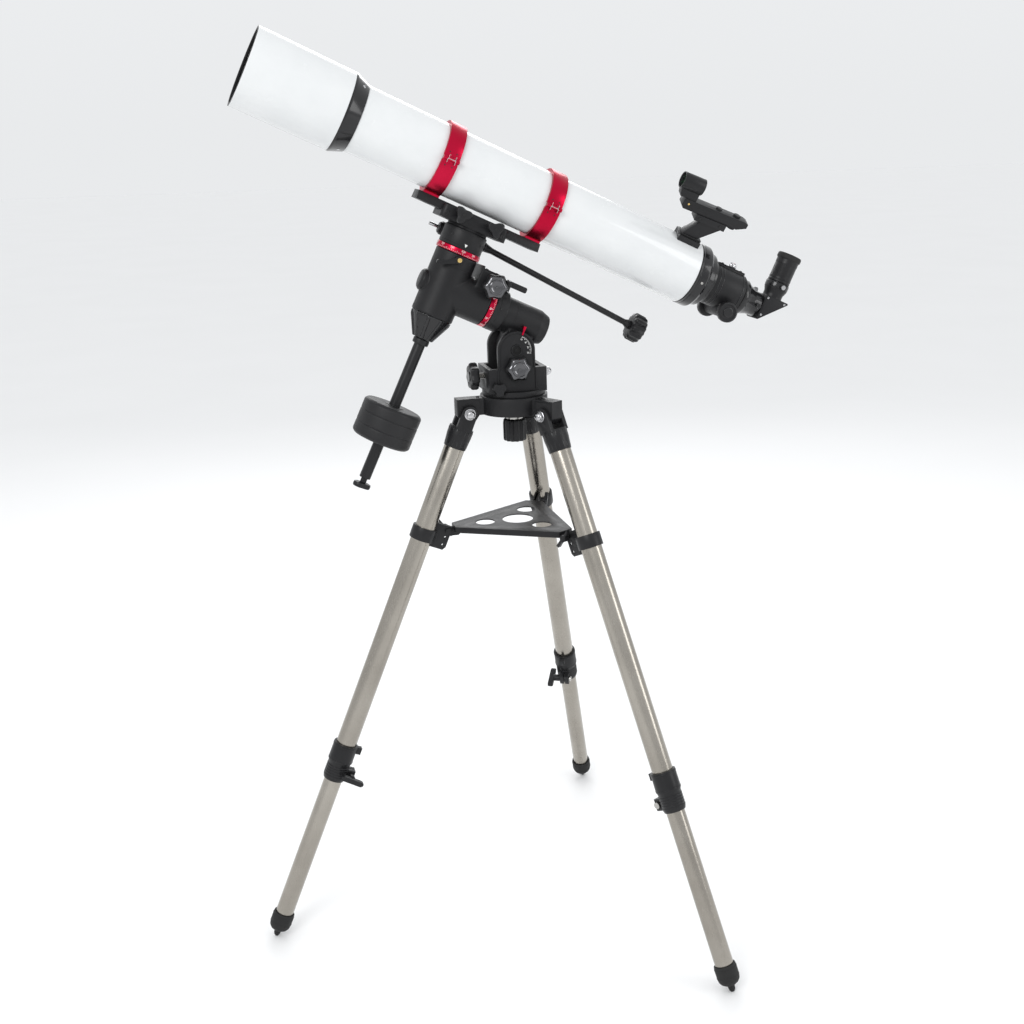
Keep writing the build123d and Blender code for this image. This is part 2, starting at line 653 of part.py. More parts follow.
def ra_housing():
    body = rod(NOSE_R, (59, 0, 0), (74, 0, 0)) + rod(30, (74, 0, 0), (83.6, 0, 0))
    body += rod(34.5, (83.6, 0, 0), (105, 0, 0))
    rear = [(0, 105), (29, 105), (29, 168), (27.5, 172), (24, 183), (0, 183)]
    body += turned(rear, axis=(1, 0, 0))
    body += rod(19, (PIVOT_ALONG, -28.2, -PIVOT_BELOW), (PIVOT_ALONG, 28.2, -PIVOT_BELOW))
    body += box((122, 163), (-24, 24), (-PIVOT_BELOW, -14))
    body += unpolar(box((PIVOT_X - 10, PIVOT_X + 10), (-28.2, 28.2), (PIVOT_Z - 55, PIVOT_Z)))
    body -= rod(RA_SHAFT_R + FIT, (58, 0, 0), (160, 0, 0))
    body -= rod(13.5, (100, 0, 0), (138, 0, 0))
    body -= rod(14, (160, 0, 0), (178, 0, 0))
    body -= rod(3 + FIT, (97, 0, 22), (97, 0, 36))
    pivot = (PIVOT_ALONG, -40, -PIVOT_BELOW), (PIVOT_ALONG, 40, -PIVOT_BELOW)
    body -= rod(5 + FIT, *pivot)
    lock_z = PIVOT_Z - LOCK_DROP
    body -= unpolar(rod(4 + FIT, (PIVOT_X, -40, lock_z), (PIVOT_X, 40, lock_z)))
    return body


def ra_clutch():
    stud = rod(3, (97, 0, 24), (97, 0, 44)) + rod(6, (97, 0, 34.5 + GAP), (97, 0, 47))
    hub = rod(7.5, (97, 0, 44), (97, 0, 51))
    blade = box((97, 130), (-3, 3), (43, 52.5))
    return stud + hub + fillet(blade.edges().filter_by(Axis.Y).sort_by(Axis.X)[-2:], 3)


# ---- counterweight -----------------------------------------------------------
def counterweight_shaft():
    bar = rod(WEIGHT_ROD_R, (0, 0, -334), (0, 0, -66))
    stop = [(0, -334), (5, -334), (5, -342), (14, -343), (15, -347), (13, -351), (0, -351)]
    return group(bar, turned(stop))


def counterweight():
    top, low = WEIGHT_TOP, WEIGHT_BOTTOM
    third = (top - low) / 3
    profile = [(WEIGHT_ROD_R + FIT, low), (45, low), (WEIGHT_R, low + 4)]
    for groove in (low + third, low + 2 * third):
        profile += [(WEIGHT_R, groove - 0.7), (WEIGHT_R - 0.8, groove), (WEIGHT_R, groove + 0.7)]
    profile += [(WEIGHT_R, top - 4), (45, top), (WEIGHT_ROD_R + FIT, top)]
    middle = (top + low) / 2
    return turned(profile) - rod(4 + FIT, (0, 5, middle), (0, 60, middle))


def counterweight_screw():
    middle = (WEIGHT_TOP + WEIGHT_BOTTOM) / 2
    shank = rod(4, (0, WEIGHT_ROD_R + GAP, middle), (0, 55, middle))
    return shank + lobed(11, 13, 5, 1.8, (0, WEIGHT_R + 1.2, middle), (0, 1, 0))


# ---- azimuth base (part frame, before the shift to AXIS_X) -------------------
def azimuth_base():
    body = rod(52, (0, 0, HEAD_TOP + GAP), (0, 0, 943))
    pivot = (PIVOT_X, 0, PIVOT_Z)
    for side in (-1, 1):
        y = sorted((side * CHEEK_IN, side * CHEEK_OUT))
        near, far = (PIVOT_X, y[0], PIVOT_Z), (PIVOT_X, y[1], PIVOT_Z)
        body += box((-50, 47), y, (941, 981)) + rod(CHEEK_R, near, far)
        body += box((PIVOT_X - CHEEK_R, PIVOT_X + CHEEK_R), y, (980, PIVOT_Z))
    body += box((-50, -42), (-CHEEK_OUT, CHEEK_OUT), (941, 981))
    body += box((39, 47), (-CHEEK_OUT, CHEEK_OUT), (941, 981))
    body -= rod(5, (PIVOT_X, -50, PIVOT_Z), (PIVOT_X, 50, PIVOT_Z))
    body -= rod(9, (PIVOT_X, -50, PIVOT_Z), (PIVOT_X, -CHEEK_OUT + 5, PIVOT_Z))
    lock_z = PIVOT_Z - LOCK_DROP
    body -= box((PIVOT_X - 12.5, PIVOT_X + 12.5), (-50, 50), (lock_z - 4.6, lock_z + 6))
    screw_z = PIVOT_Z - SCREW_DROP
    body -= rod(5 + FIT, (-60, 0, screw_z), (60, 0, screw_z))
    body -= box((-43, -29), (-14, 14), (930, 943))
    body -= rod(6 + FIT, (0, 0, 930), (0, 0, 945))
    bolt = rod(5, (PIVOT_X, -34, PIVOT_Z), (PIVOT_X, CHEEK_OUT, PIVOT_Z))
    bolt += rod(7.5, (PIVOT_X, -37, PIVOT_Z), (PIVOT_X, -33, PIVOT_Z))
    extras = [bolt]
    for side in (-1, 1):
        screw = rod(4, (-36, side * 12.6, 950), (-36, side * 48, 950))
        body -= screw
        screw += rod(6.5, (-36, side * CHEEK_OUT, 950), (-36, side * 46, 950))
        screw += lobed(11.5, 9, 3, 3.6, (-36, side * 44, 950), (0, side, 0))
        extras.append(screw)
    return group(body, *extras)


def latitude_lock():
    z = PIVOT_Z - LOCK_DROP
    bolt = rod(4, (PIVOT_X, -46, z), (PIVOT_X, 46, z))
    near = (PIVOT_X, -CHEEK_OUT - GAP, z)
    knob = lobed(21, 14, 6, 3.2, near, (0, -1, 0), 4)
    dome = turned([(0, 14), (15, 14), (14, 17), (9, 20), (0, 21)], near, (0, -1, 0)) - bolt
    nut = pipe(9, 4, (PIVOT_X, CHEEK_OUT + GAP, z), (PIVOT_X, 45, z))
    return group(bolt, knob + dome, nut)


def screw_shank(direction, end):
    """Altitude screw's shank with a rounded tip that rests on the tongue."""
    tip = TONGUE_HALF + 0.8
    profile = [(0, 0), (2, 0.42), (3.5, 1.43), (4.6, 3.05), (5, 5), (5, end - tip), (0, end - tip)]
    origin = (PIVOT_X + direction * tip, 0, PIVOT_Z - SCREW_DROP)
    return turned(profile, origin, (direction, 0, 0))


def altitude_screw_front():
    start = (-60, 0, PIVOT_Z - SCREW_DROP)
    return screw_shank(-1, 63.3) + lobed(23, 15, 7, 2.8, start, (-1, 0, 0))


def altitude_screw_rear():
    cap = [(0, 53), (8.5, 53), (8.5, 58), (7, 62), (3.5, 65), (0, 66)]
    return screw_shank(1, 56.7) + turned(cap, (0, 0, PIVOT_Z - SCREW_DROP), (1, 0, 0))


# ---- tripod ------------------------------------------------------------------
def around(azimuth, solid):
    """From the frame of a leg at azimuth 0 to that leg's azimuth."""
    return Rot(0, 0, azimuth) * solid


def splayed(azimuth, solid):
    """From the leg frame (hinge at the origin, leg along -z) to the part frame."""
    return around(azimuth, Location((HINGE_R, 0, HINGE_Z), (0, -LEG_SPLAY, 0)) * solid)


def tripod_head():
    body = rod(HEAD_DISC_R, (0, 0, HEAD_BOTTOM), (0, 0, HEAD_TOP))
    body -= pipe(50, 18, (0, 0, HEAD_BOTTOM), (0, 0, HEAD_TOP - 12))
    for azimuth in LEG_AZIMUTHS:
        outline = [(44, 931), (99, 931), (99, 903), (90, 892), (70, 892), (62, 903), (44, 903)]
        body += around(azimuth, slab(outline, -12, 12))
    for azimuth in LEG_AZIMUTHS:
        body -= around(azimuth, rod(5, (HINGE_R, -15, HINGE_Z), (HINGE_R, 15, HINGE_Z)))
    body -= rod(6 + FIT, (0, 0, 890), (0, 0, 935))
    return body + rod(5, (-36, 0, HEAD_TOP - 6), (-36, 0, 956))


def hinge_bolts():
    bolts = []
    for azimuth in LEG_AZIMUTHS:
        bolt = rod(5, (HINGE_R, -22, HINGE_Z), (HINGE_R, 22, HINGE_Z))
        for side in (-1, 1):
            dome = [(0, 20.5), (9, 20.5), (9, 24), (7, 28), (0, 29.5)]
            bolt += turned(dome, (HINGE_R, 0, HINGE_Z), (0, side, 0))
        bolts.append(around(azimuth, bolt))
    return group(*bolts)


def head_bolt():
    bolt = rod(6, (0, 0, 880), (0, 0, 946))
    return bolt + lobed(20, 38, 8, 2.4, (0, 0, 853), (0, 0, 1)) + rod(14, (0, 0, 890), (0, 0, 902))


def accessory_tray():
    """Triangular plate with turned-down edges, three lugs, a large hole and three small ones."""
    half = 15.0
    corners = []
    for azimuth in LEG_AZIMUTHS:
        out = Vector(1, 0, 0).rotate(Axis.Z, azimuth)
        side = Vector(0, 1, 0).rotate(Axis.Z, azimuth)
        corners += [out * TRAY_CORNER - side * half, out * TRAY_CORNER + side * half]
    outline = make_face(Polyline(*[(p.X, p.Y) for p in corners], close=True))
    plate = Pos(0, 0, TRAY_Z - 2) * extrude(outline, amount=2)
    inner = offset(outline, amount=-2)
    rim = extrude(outline, amount=8) - extrude(inner, amount=8)
    plate += Pos(0, 0, TRAY_Z - 10) * rim
    plate -= rod(26.3, (0, 0, TRAY_Z - 20), (0, 0, TRAY_Z + 5))
    for azimuth in LEG_AZIMUTHS:
        hole = rod(16.2, (57, 0, TRAY_Z - 20), (57, 0, TRAY_Z + 5))
        plate -= around(azimuth, hole)
        lug = slab([(96, 714.5), (112, 714.5), (136, 712), (136, 698), (104, 698), (96, 706)], -1.7, 1.7)
        lug -= box((118.4, 127.4), (-5, 5), (704.5, 720))
        plate += around(azimuth, lug)
    return plate


def leg_tube(azimuth):
    tube = pipe(LEG_R, LEG_R - 1.2, (0, 0, -LEG_TUBE_END), (0, 0, -LEG_TUBE_TOP))
    return splayed(azimuth, tube)


def leg_yoke():
    body = turned([(0, -27), (20.5, -27), (20.8, -40), (18.7, -62), (0, -62)])
    body -= rod(LEG_R, (0, 0, -63), (0, 0, -LEG_TUBE_TOP))
    for low, high in ((-20, -12 - GAP), (12 + GAP, 20)):
        arm = box((-13, 13), (low, high), (-30, 0)) + rod(13, (0, low, 0), (0, high, 0))
        body += arm
    return body - rod(5 + FIT, (0, -25, 0), (0, 25, 0))


def spreader_band():
    body = rod(21, (0, 0, -BAND_AT - 11), (0, 0, -BAND_AT + 11))
    for low, high in ((-4.8, -2.1), (2.1, 4.8)):
        ear = slab([(-16, -192), (-44, -192), (-44, -228), (-40, -234), (-16, -234)], low, high)
        body += ear
    body -= rod(LEG_R, (0, 0, -BAND_AT - 30), (0, 0, -BAND_AT + 30))
    body -= box((-25, -15), (-2.1, 2.1), (-BAND_AT - 12, -BAND_AT + 12))
    for x, z in ((-38, -200), (-38, -212), (-38, -226)):
        body -= rod(2.5, (x, -6, z), (x, 6, z))
    return body


def wing_bolt():
    bolt = rod(2.5, (-38, -20, -200), (-38, 8, -200)) + rod(4.5, (-38, 4.8, -200), (-38, 8.5, -200))
    bolt += rod(6, (-38, -20, -200), (-38, -9, -200))
    return bolt + slab([(-56, -208), (-52, -212), (-24, -194), (-20, -188), (-24, -190)], -21, -15)


def leg_clamp():
    body = turned([(0, -608), (21, -608), (21.3, -640), (19.5, -643), (19.5, -670), (18, -675), (0, -675)])
    body += box((-31, -12), (-9, 9), (-672, -652)) + box((-29, -12), (-5, 5), (-622, -610))
    body -= rod(LEG_R, (0, 0, -LEG_TUBE_END), (0, 0, -600))
    body -= rod(LOWER_R + FIT, (0, 0, -680), (0, 0, -LEG_TUBE_END))
    body -= box((-35, -10), (-1, 1), (-680, -645))
    return body - rod(3 + FIT, (-25, -20, -662), (-25, 20, -662))


def leg_fittings(azimuth):
    return splayed(azimuth, group(leg_yoke(), spreader_band(), wing_bolt(), leg_clamp()))


def lower_leg(azimuth):
    tube = pipe(LOWER_R, LOWER_R - 1.2, (0, 0, -955), (0, 0, -LOWER_TOP))
    profile = [
        (0, -955),
        (LOWER_R, -955),
        (LOWER_R, -FOOT_TOP),
        (18, -FOOT_TOP),
        (19, -FOOT_TOP - 4),
        (18.6, -962),
        (15.5, -967),
        (8, -971),
        (7, -978),
        (4, -982.8),
        (0, -FOOT_TIP),
    ]
    return splayed(azimuth, group(tube, turned(profile)))


def leg_knob(azimuth):
    screw = rod(3, (-25, -13, -662), (-25, 27, -662)) + rod(5.5, (-25, -13, -662), (-25, -9 - GAP, -662))
    screw += rod(6.5, (-25, 9 + GAP, -662), (-25, 27, -662))
    wing = slab([(-46, -664), (-43, -668), (-7, -663), (-4, -660), (-7, -656), (-43, -657)], 22, 31)
    return splayed(azimuth, screw + wing)


# ---- placing -----------------------------------------------------------------
def polar_place():
    """Polar frame: x to the rear along the polar axis, z along the declination axis."""
    tilt = radians(LATITUDE)
    x = PIVOT_X - PIVOT_ALONG * cos(tilt) + PIVOT_BELOW * sin(tilt)
    z = PIVOT_Z + PIVOT_ALONG * sin(tilt) + PIVOT_BELOW * cos(tilt)
    return Location((x, 0, z), (0, LATITUDE, 0))


def unpolar(solid):
    """From the part frame back into the polar frame."""
    return polar_place().inverse() * solid


def nodes():
    """Every node's solid, in the part frame with the azimuth axis at x = 0."""
    polar = {
        "main_tube": main_tube(),
        "dew_shield": dew_shield(),
        "objective_cell": objective_cell(),
        "objective_lenses": objective_lenses(),
        "tube_baffles": tube_baffles(),
        "rear_cell": rear_cell(),
        "focuser_body": focuser_body(),
        "drawtube": drawtube(),
        "focus_pinion": focus_pinion(),
        "drawtube_lock": drawtube_lock(),
        "diagonal_body": diagonal_body(),
        "diagonal_mirror": diagonal_mirror(),
        "eyepiece": eyepiece(),
        "finder_bracket": finder_bracket(),
        "finder_body": finder_body(),
        "ring_front_lower": ring_lower(RING_X[0]),
        "ring_rear_lower": ring_lower(RING_X[1]),
        "ring_front_upper": ring_upper(RING_X[0]),
        "ring_rear_upper": ring_upper(RING_X[1]),
        "dovetail_bar": dovetail_bar(),
        "saddle": saddle(),
        "saddle_knobs": saddle_knobs(),
        "dec_head": dec_head(),
        "dec_shaft": dec_shaft(),
        "dec_circle": dec_circle(),
        "dec_worm": dec_worm(),
        "dec_worm_wheel": dec_worm_wheel(),
        "dec_control_shaft": dec_control_shaft(),
        "dec_clutch": dec_clutch(),
        "polar_casting": polar_casting(),
        "counterweight_cone": counterweight_cone(),
        "ra_shaft": ra_shaft(),
        "ra_circle": ra_circle(),
        "ra_worm": ra_worm(),
        "ra_worm_wheel": ra_worm_wheel(),
        "ra_housing": ra_housing(),
        "ra_clutch": ra_clutch(),
        "counterweight_shaft": counterweight_shaft(),
        "counterweight": counterweight(),
        "counterweight_screw": counterweight_screw(),
    }
    placed = {name: polar_place() * solid for name, solid in polar.items()}
    placed["azimuth_base"] = azimuth_base()
    placed["latitude_lock"] = latitude_lock()
    placed["altitude_screw_front"] = altitude_screw_front()
    placed["altitude_screw_rear"] = altitude_screw_rear()
    placed["tripod_head"] = tripod_head()
    placed["head_bolt"] = head_bolt()
    placed["hinge_bolts"] = hinge_bolts()
    placed["accessory_tray"] = accessory_tray()
    for number, azimuth in enumerate(LEG_AZIMUTHS, start=1):
        placed[f"leg_tube_{number}"] = leg_tube(azimuth)
        placed[f"leg_fittings_{number}"] = leg_fittings(azimuth)
        placed[f"lower_leg_{number}"] = lower_leg(azimuth)
        placed[f"leg_knob_{number}"] = leg_knob(azimuth)
    return placed


os.makedirs("parts", exist_ok=True)
for name, solid in nodes().items():
    export_step(Pos(AXIS_X, 0, 0) * solid, f"parts/{name}.step")
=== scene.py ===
import json
from math import atan2, copysign, cos, degrees, hypot, pi, radians, sin

import bmesh
import bpy
from mathutils import Matrix, Vector


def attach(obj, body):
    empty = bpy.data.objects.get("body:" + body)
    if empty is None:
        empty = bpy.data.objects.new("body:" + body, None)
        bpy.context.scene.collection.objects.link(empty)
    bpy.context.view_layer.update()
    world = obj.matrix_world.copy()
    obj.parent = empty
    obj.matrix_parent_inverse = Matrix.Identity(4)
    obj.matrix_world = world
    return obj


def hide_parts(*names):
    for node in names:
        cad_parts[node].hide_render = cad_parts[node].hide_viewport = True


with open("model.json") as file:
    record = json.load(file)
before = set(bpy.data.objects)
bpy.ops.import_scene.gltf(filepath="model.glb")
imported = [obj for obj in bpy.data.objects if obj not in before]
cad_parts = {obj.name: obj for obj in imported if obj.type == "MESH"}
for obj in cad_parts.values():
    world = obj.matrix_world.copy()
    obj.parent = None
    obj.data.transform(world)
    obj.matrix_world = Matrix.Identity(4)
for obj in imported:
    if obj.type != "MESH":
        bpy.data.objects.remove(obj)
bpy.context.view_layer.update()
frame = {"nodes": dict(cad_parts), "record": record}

# ---- the object's main sizes, in millimetres and degrees ----------------------
MM = 0.001
AXIS_X = -22.9
LATITUDE = 25.7
PIVOT = (-2.7, 1010.0)
AXES_BACK = 142.5
AXES_UP = 46.0
TUBE_Z = 184.0
TUBE_R = 53
PINION = (455, -34.5)
DRAW_LOCK_X = 450
DIAGONAL_X = 543
EYEPIECE_X = 541
FINDER_TURN = 25.0
FINDER_DIP = 3.5
SIGHT_Z = 144.5
RINGS_X = {"front": -78, "rear": 101}
WEIGHT_R = 49.0
WEIGHT_TOP = -206.5
WEIGHT_LOW = -268.5
CHEEK_Y = 38
LATITUDE_LOCK_DROP = 29.0
ALTITUDE_SCREW_DROP = 44.0
LEG_AZIMUTHS = (180.0, -60.0, 60.0)
LEG_SPLAY = 22.9
HINGE_X = 80
HINGE_Z = 907
LEG_KNOB = (-25, 0, -662)


# ---- frames, all in millimetres ----------------------------------------------
def at(x, y, z):
    return Matrix.Translation((x, y, z))


def turned(angle, axis="Z"):
    return Matrix.Rotation(radians(angle), 4, axis)


def polar_origin():
    """Where the declination axis crosses the polar axis, seen from the latitude pivot."""
    tilt = radians(LATITUDE)
    x = PIVOT[0] - AXES_BACK * cos(tilt) + AXES_UP * sin(tilt)
    z = PIVOT[1] + AXES_BACK * sin(tilt) + AXES_UP * cos(tilt)
    return x, 0, z


BASE = at(AXIS_X, 0, 0)
POLAR = BASE @ at(*polar_origin()) @ turned(LATITUDE, "Y")
TUBE = POLAR @ at(0, 0, TUBE_Z)
FINDER = TUBE @ turned(FINDER_TURN, "X")
CLAMP_TOP = at(356, 0, 104)
SIGHT = FINDER @ CLAMP_TOP @ turned(-FINDER_DIP, "Y") @ CLAMP_TOP.inverted()
TO_X = turned(90, "Y")


def leg_frame(number):
    return BASE @ turned(LEG_AZIMUTHS[number - 1]) @ at(HINGE_X, 0, HINGE_Z) @ turned(-LEG_SPLAY, "Y")


def aimed(origin, axis, frame_matrix=None):
    """Frame with its z along axis and its origin at a point of frame_matrix."""
    quat = Vector((0, 0, 1)).rotation_difference(Vector(axis))
    own = Matrix.Translation(origin) @ quat.to_matrix().to_4x4()
    return own if frame_matrix is None else frame_matrix @ own


def aimed_up(origin, axis, up=(0, 0, 1)):
    """Frame at origin with z along axis and y nearest to up."""
    z = Vector(axis).normalized()
    x = Vector(up).cross(z).normalized()
    y = z.cross(x)
    turn = Matrix((x, y, z)).transposed().to_4x4()
    return Matrix.Translation(origin) @ turn


# ---- material nodes ----------------------------------------------------------
class Nodes:
    """One material's node tree, with the shader and short helpers."""

    def __init__(self, name):
        self.material = bpy.data.materials.new(name)
        self.material.use_nodes = True
        self.tree = self.material.node_tree
        self.shader = self.tree.nodes["Principled BSDF"]
        self.coord = self.tree.nodes.new("ShaderNodeTexCoord").outputs["Object"]

    def put(self, socket, value):
        if hasattr(value, "is_output"):
            self.tree.links.new(value, socket)
        else:
            socket.default_value = value

    def add(self, kind, outputs=0, settings=None, **inputs):
        node = self.tree.nodes.new(kind)
        for key, value in (settings or {}).items():
            setattr(node, key, value)
        for key, value in inputs.items():
            self.put(node.inputs[key.replace("_", " ")], value)
        return node.outputs[outputs]

    def stretched(self, scale):
        node = self.tree.nodes.new("ShaderNodeMapping")
        self.put(node.inputs["Vector"], self.coord)
        node.inputs["Scale"].default_value = scale
        return node.outputs["Vector"]

    def noise(self, scale, detail=3.0, rough=0.5, vector=None):
        return self.add(
            "ShaderNodeTexNoise", Vector=vector or self.coord, Scale=scale, Detail=detail, Roughness=rough
        )

    def span(self, value, low, high, start=0.3, end=0.7):
        node = self.tree.nodes.new("ShaderNodeMapRange")
        given = {"Value": value, "From Min": start, "From Max": end, "To Min": low, "To Max": high}
        for key, item in given.items():
            self.put(node.inputs[key], item)
        return node.outputs["Result"]

    def blend(self, factor, first, second):
        node = self.tree.nodes.new("ShaderNodeMix")
        node.data_type = "RGBA"
        self.put(node.inputs[0], factor)
        self.put(node.inputs[6], (*first, 1.0) if isinstance(first, tuple) else first)
        self.put(node.inputs[7], (*second, 1.0) if isinstance(second, tuple) else second)
        return node.outputs[2]

    def bump(self, height, strength, distance):
        normal = self.add("ShaderNodeBump", Height=height, Strength=strength, Distance=distance)
        self.put(self.shader.inputs["Normal"], normal)

    def set(self, **inputs):
        for key, value in inputs.items():
            name = key.replace("_", " ")
            if isinstance(value, tuple):
                value = (*value, 1.0)
            self.put(self.shader.inputs[name], value)
        return self


def painted(name, dark, light, rough, coat, grain, grain_height, coat_rough=0.08, gleam=0.26):
    """Paint or moulded plastic: faint patches of tone and gloss over a fine grain."""
    n = Nodes(name)
    patches = n.noise(14.0, 4.0)
    n.set(
        Base_Color=n.blend(n.span(patches, 0.0, 1.0), dark, light),
        Roughness=n.span(n.noise(45.0, 5.0, 0.6), rough[0], rough[1]),
        Coat_Weight=coat,
        Coat_Roughness=coat_rough,
        Specular_IOR_Level=gleam,
    )
    n.bump(n.noise(grain, 4.0, 0.6), 1.0, grain_height)
    return n.material


def metal(name, dark, light, rough, stretch, lines, lines_height, aniso=0.0):
    """Worked metal with fine drawn or turned lines along one direction."""
    n = Nodes(name)
    drawn = n.noise(lines, 5.0, 0.65, n.stretched(stretch))
    n.set(
        Base_Color=n.blend(n.span(n.noise(9.0, 3.0), 0.0, 1.0), dark, light),
        Metallic=1.0,
        Roughness=n.span(drawn, rough[0], rough[1]),
        Anisotropic=aniso,
    )
    n.bump(drawn, 1.0, lines_height)
    return n.material


WHITE = painted(
    "white_enamel", (0.66, 0.675, 0.68), (0.70, 0.712, 0.715), (0.2, 0.28), 0.5, 900.0, 0.00001, 0.05,
)
CASTING = painted(
    "black_casting", (0.008, 0.008, 0.009), (0.013, 0.013, 0.014), (0.36, 0.48), 0.0, 1800.0, 0.00012,
)
GLOSS = painted(
    "black_gloss", (0.006, 0.006, 0.007), (0.010, 0.010, 0.011), (0.16, 0.24), 0.4, 700.0, 0.00003,
)
PLASTIC = painted(
    "black_plastic", (0.009, 0.009, 0.010), (0.015, 0.015, 0.016), (0.3, 0.4), 0.0, 1200.0, 0.00006,
)
MATT = painted("flat_black", (0.006, 0.006, 0.006), (0.010, 0.010, 0.010), (0.7, 0.85), 0.0, 2500.0, 0.0001)
RUBBER = painted("rubber", (0.012, 0.012, 0.012), (0.02, 0.02, 0.02), (0.55, 0.68), 0.0, 1500.0, 0.0001)
WEIGHT = painted(
    "weight_paint", (0.012, 0.012, 0.013), (0.018, 0.018, 0.019), (0.42, 0.5), 0.0, 2200.0, 0.00015,
)
PRINT = painted("white_print", (0.7, 0.7, 0.68), (0.8, 0.8, 0.78), (0.4, 0.5), 0.0, 1200.0, 0.00002)
RED = metal(
    "red_anodised", (0.42, 0.006, 0.030), (0.52, 0.012, 0.046), (0.26, 0.36), (1, 1, 1), 1600.0, 0.00001,
)
CHROME = metal("chrome", (0.48, 0.48, 0.49), (0.56, 0.56, 0.57), (0.07, 0.14), (1, 1, 1), 300.0, 0.000004)
# chrome darkened all over: a painted dark reflection standing in for the dark surroundings the knob caps
# mirror
CHROME_PAINTED_DARK_REFLECTION = metal(
    "chrome_with_painted_dark_reflection", (0.10, 0.10, 0.105), (0.14, 0.14, 0.145), (0.06, 0.12), (1, 1, 1), 300.0, 0.000004,
)
STEEL = metal(
    "turned_steel", (0.40, 0.39, 0.37), (0.48, 0.47, 0.45), (0.22, 0.34), (1, 1, 1), 900.0, 0.00001,
)
STAINLESS = metal(
    "stainless", (0.30, 0.278, 0.245), (0.40, 0.375, 0.335), (0.2, 0.3), (1, 1, 0.05), 420.0, 0.000004,
)
BLACKED = metal(
    "blacked_steel", (0.035, 0.035, 0.036), (0.05, 0.05, 0.05), (0.25, 0.36), (1, 1, 1), 900.0, 0.00001,
)
BRASS = metal("brass", (0.62, 0.44, 0.16), (0.75, 0.56, 0.25), (0.2, 0.32), (1, 1, 1), 700.0, 0.00001)
MIRROR = metal("mirror", (0.9, 0.9, 0.9), (0.93, 0.93, 0.93), (0.02, 0.04), (1, 1, 1), 60.0, 0.000001)


def coated_glass(name):
    n = Nodes(name)
    n.set(
        Base_Color=n.blend(n.span(n.noise(20.0), 0.0, 1.0), (0.86, 0.95, 0.92), (0.9, 0.96, 0.98)),
        Roughness=0.02,
        Transmission_Weight=1.0,
        IOR=1.52,
        Coat_Weight=1.0,
        Coat_Tint=(0.45, 0.95, 0.6),
    )
    return n.material


GLASS = coated_glass("coated_glass")
SLOT_MATERIALS = {
    "white_enamel": WHITE,
    "black_casting": CASTING,
    "black_gloss": GLOSS,
    "gloss_metal": GLOSS,
    "black_satin": PLASTIC,
    "black_steel": PLASTIC,
    "red_anodised": RED,
    "chrome": CHROME,
    "steel": STEEL,
    "stainless": STAINLESS,
    "brass": BRASS,
    "weight_black": WEIGHT,
    "coated_glass": GLASS,
    "mirror": MIRROR,
    "baffle_black": MATT,
}
NODE_SLOT = {row["node"]: row["material_slot"] for row in frame["record"]["subparts"]}
BODIES = frame["record"]["behaviour"]["bodies"]
NODE_BODY = {node_name: body for body, held in BODIES.items() for node_name in held}

for node_name, node in frame["nodes"].items():
    for held in node.material_slots:
        held.material = SLOT_MATERIALS[NODE_SLOT[node_name]]


# ---- mesh helpers, in millimetres --------------------------------------------
WELD = 0.00002
BEVEL_FROM = 38.0
MARK_HALF = 0.22


def place(name, mesh, where, material, node=None, body=None, sharp=35.0):
    """Puts a mesh of the frame `where` into the scene, on its node's body or on a named one."""
    mesh.transform(Matrix.Scale(MM, 4) @ where)
    mesh.materials.clear()
    mesh.materials.append(material)
    mesh.shade_smooth()
    mesh.set_sharp_from_angle(angle=radians(sharp))
    piece = bpy.data.objects.new(name, mesh)
    bpy.context.collection.objects.link(piece)
    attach(piece, body or NODE_BODY[node])
    return piece


def stand_in(name, mesh, where, material, node, sharp=35.0):
    """Places a mesh that takes a CAD node's place."""
    piece = place(name, mesh, where, material, node, sharp=sharp)
    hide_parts(node)
    return piece


def to_mesh(name, bm):
    bmesh.ops.recalc_face_normals(bm, faces=bm.faces)
    mesh = bpy.data.meshes.new(name)
    bm.to_mesh(mesh)
    bm.free()
    return mesh


def eased(profile, radius, closed=False):
    """Profile with each corner rounded off within `radius`."""
    points = [Vector(p) for p in profile]
    out = []
    for index, corner in enumerate(points):
        if not closed and index in (0, len(points) - 1):
            out.append(corner)
            continue
        before, after = points[index - 1], points[(index + 1) % len(points)]
        reach_in = min(radius, (before - corner).length * 0.45)
        reach_out = min(radius, (after - corner).length * 0.45)
        first = corner + (before - corner).normalized() * reach_in
        last = corner + (after - corner).normalized() * reach_out
        for step in (0.0, 0.33, 0.67, 1.0):
            out.append(first.lerp(corner, step).lerp(corner.lerp(last, step), step))
    return [tuple(p) for p in out]


def lathe(profile, ease=0.6, closed=False, steps=96):
    """Body of revolution about z from (radius, height) points."""
    bm = bmesh.new()
    rings = []
    for radius, height in eased(profile, ease, closed):
        if radius < 1e-6:
            rings.append([bm.verts.new((0, 0, height))] * steps)
            continue
        turn = [2 * pi * k / steps for k in range(steps)]
        rings.append([bm.verts.new((radius * cos(a), radius * sin(a), height)) for a in turn])
    pairs = list(zip(rings, rings[1:])) + ([(rings[-1], rings[0])] if closed else [])
    for low, high in pairs:
        for k in range(steps):
            corners = [low[k - 1], low[k], high[k], high[k - 1]]
            corners = list(dict.fromkeys(corners))
            if len(corners) > 2:
                bm.faces.new(corners)
    return to_mesh("lathe", bm)


def bar(radius, low, high, ease=0.3, steps=32):
    return lathe([(0, low), (radius, low), (radius, high), (0, high)], ease, steps=steps)


def pipe(inner, outer, low, high, ease=0.3, steps=64):
    return lathe([(inner, low), (outer, low), (outer, high), (inner, high)], ease, True, steps)


def hoop(inner, outer, z, foot, crest, ease=0.3, steps=64):
    """Thin ring about height z, wider by its foot than by its crest."""
    return lathe(
        [(inner, z - foot), (outer, z - crest), (outer, z + crest), (inner, z + foot)], ease, True, steps,
    )


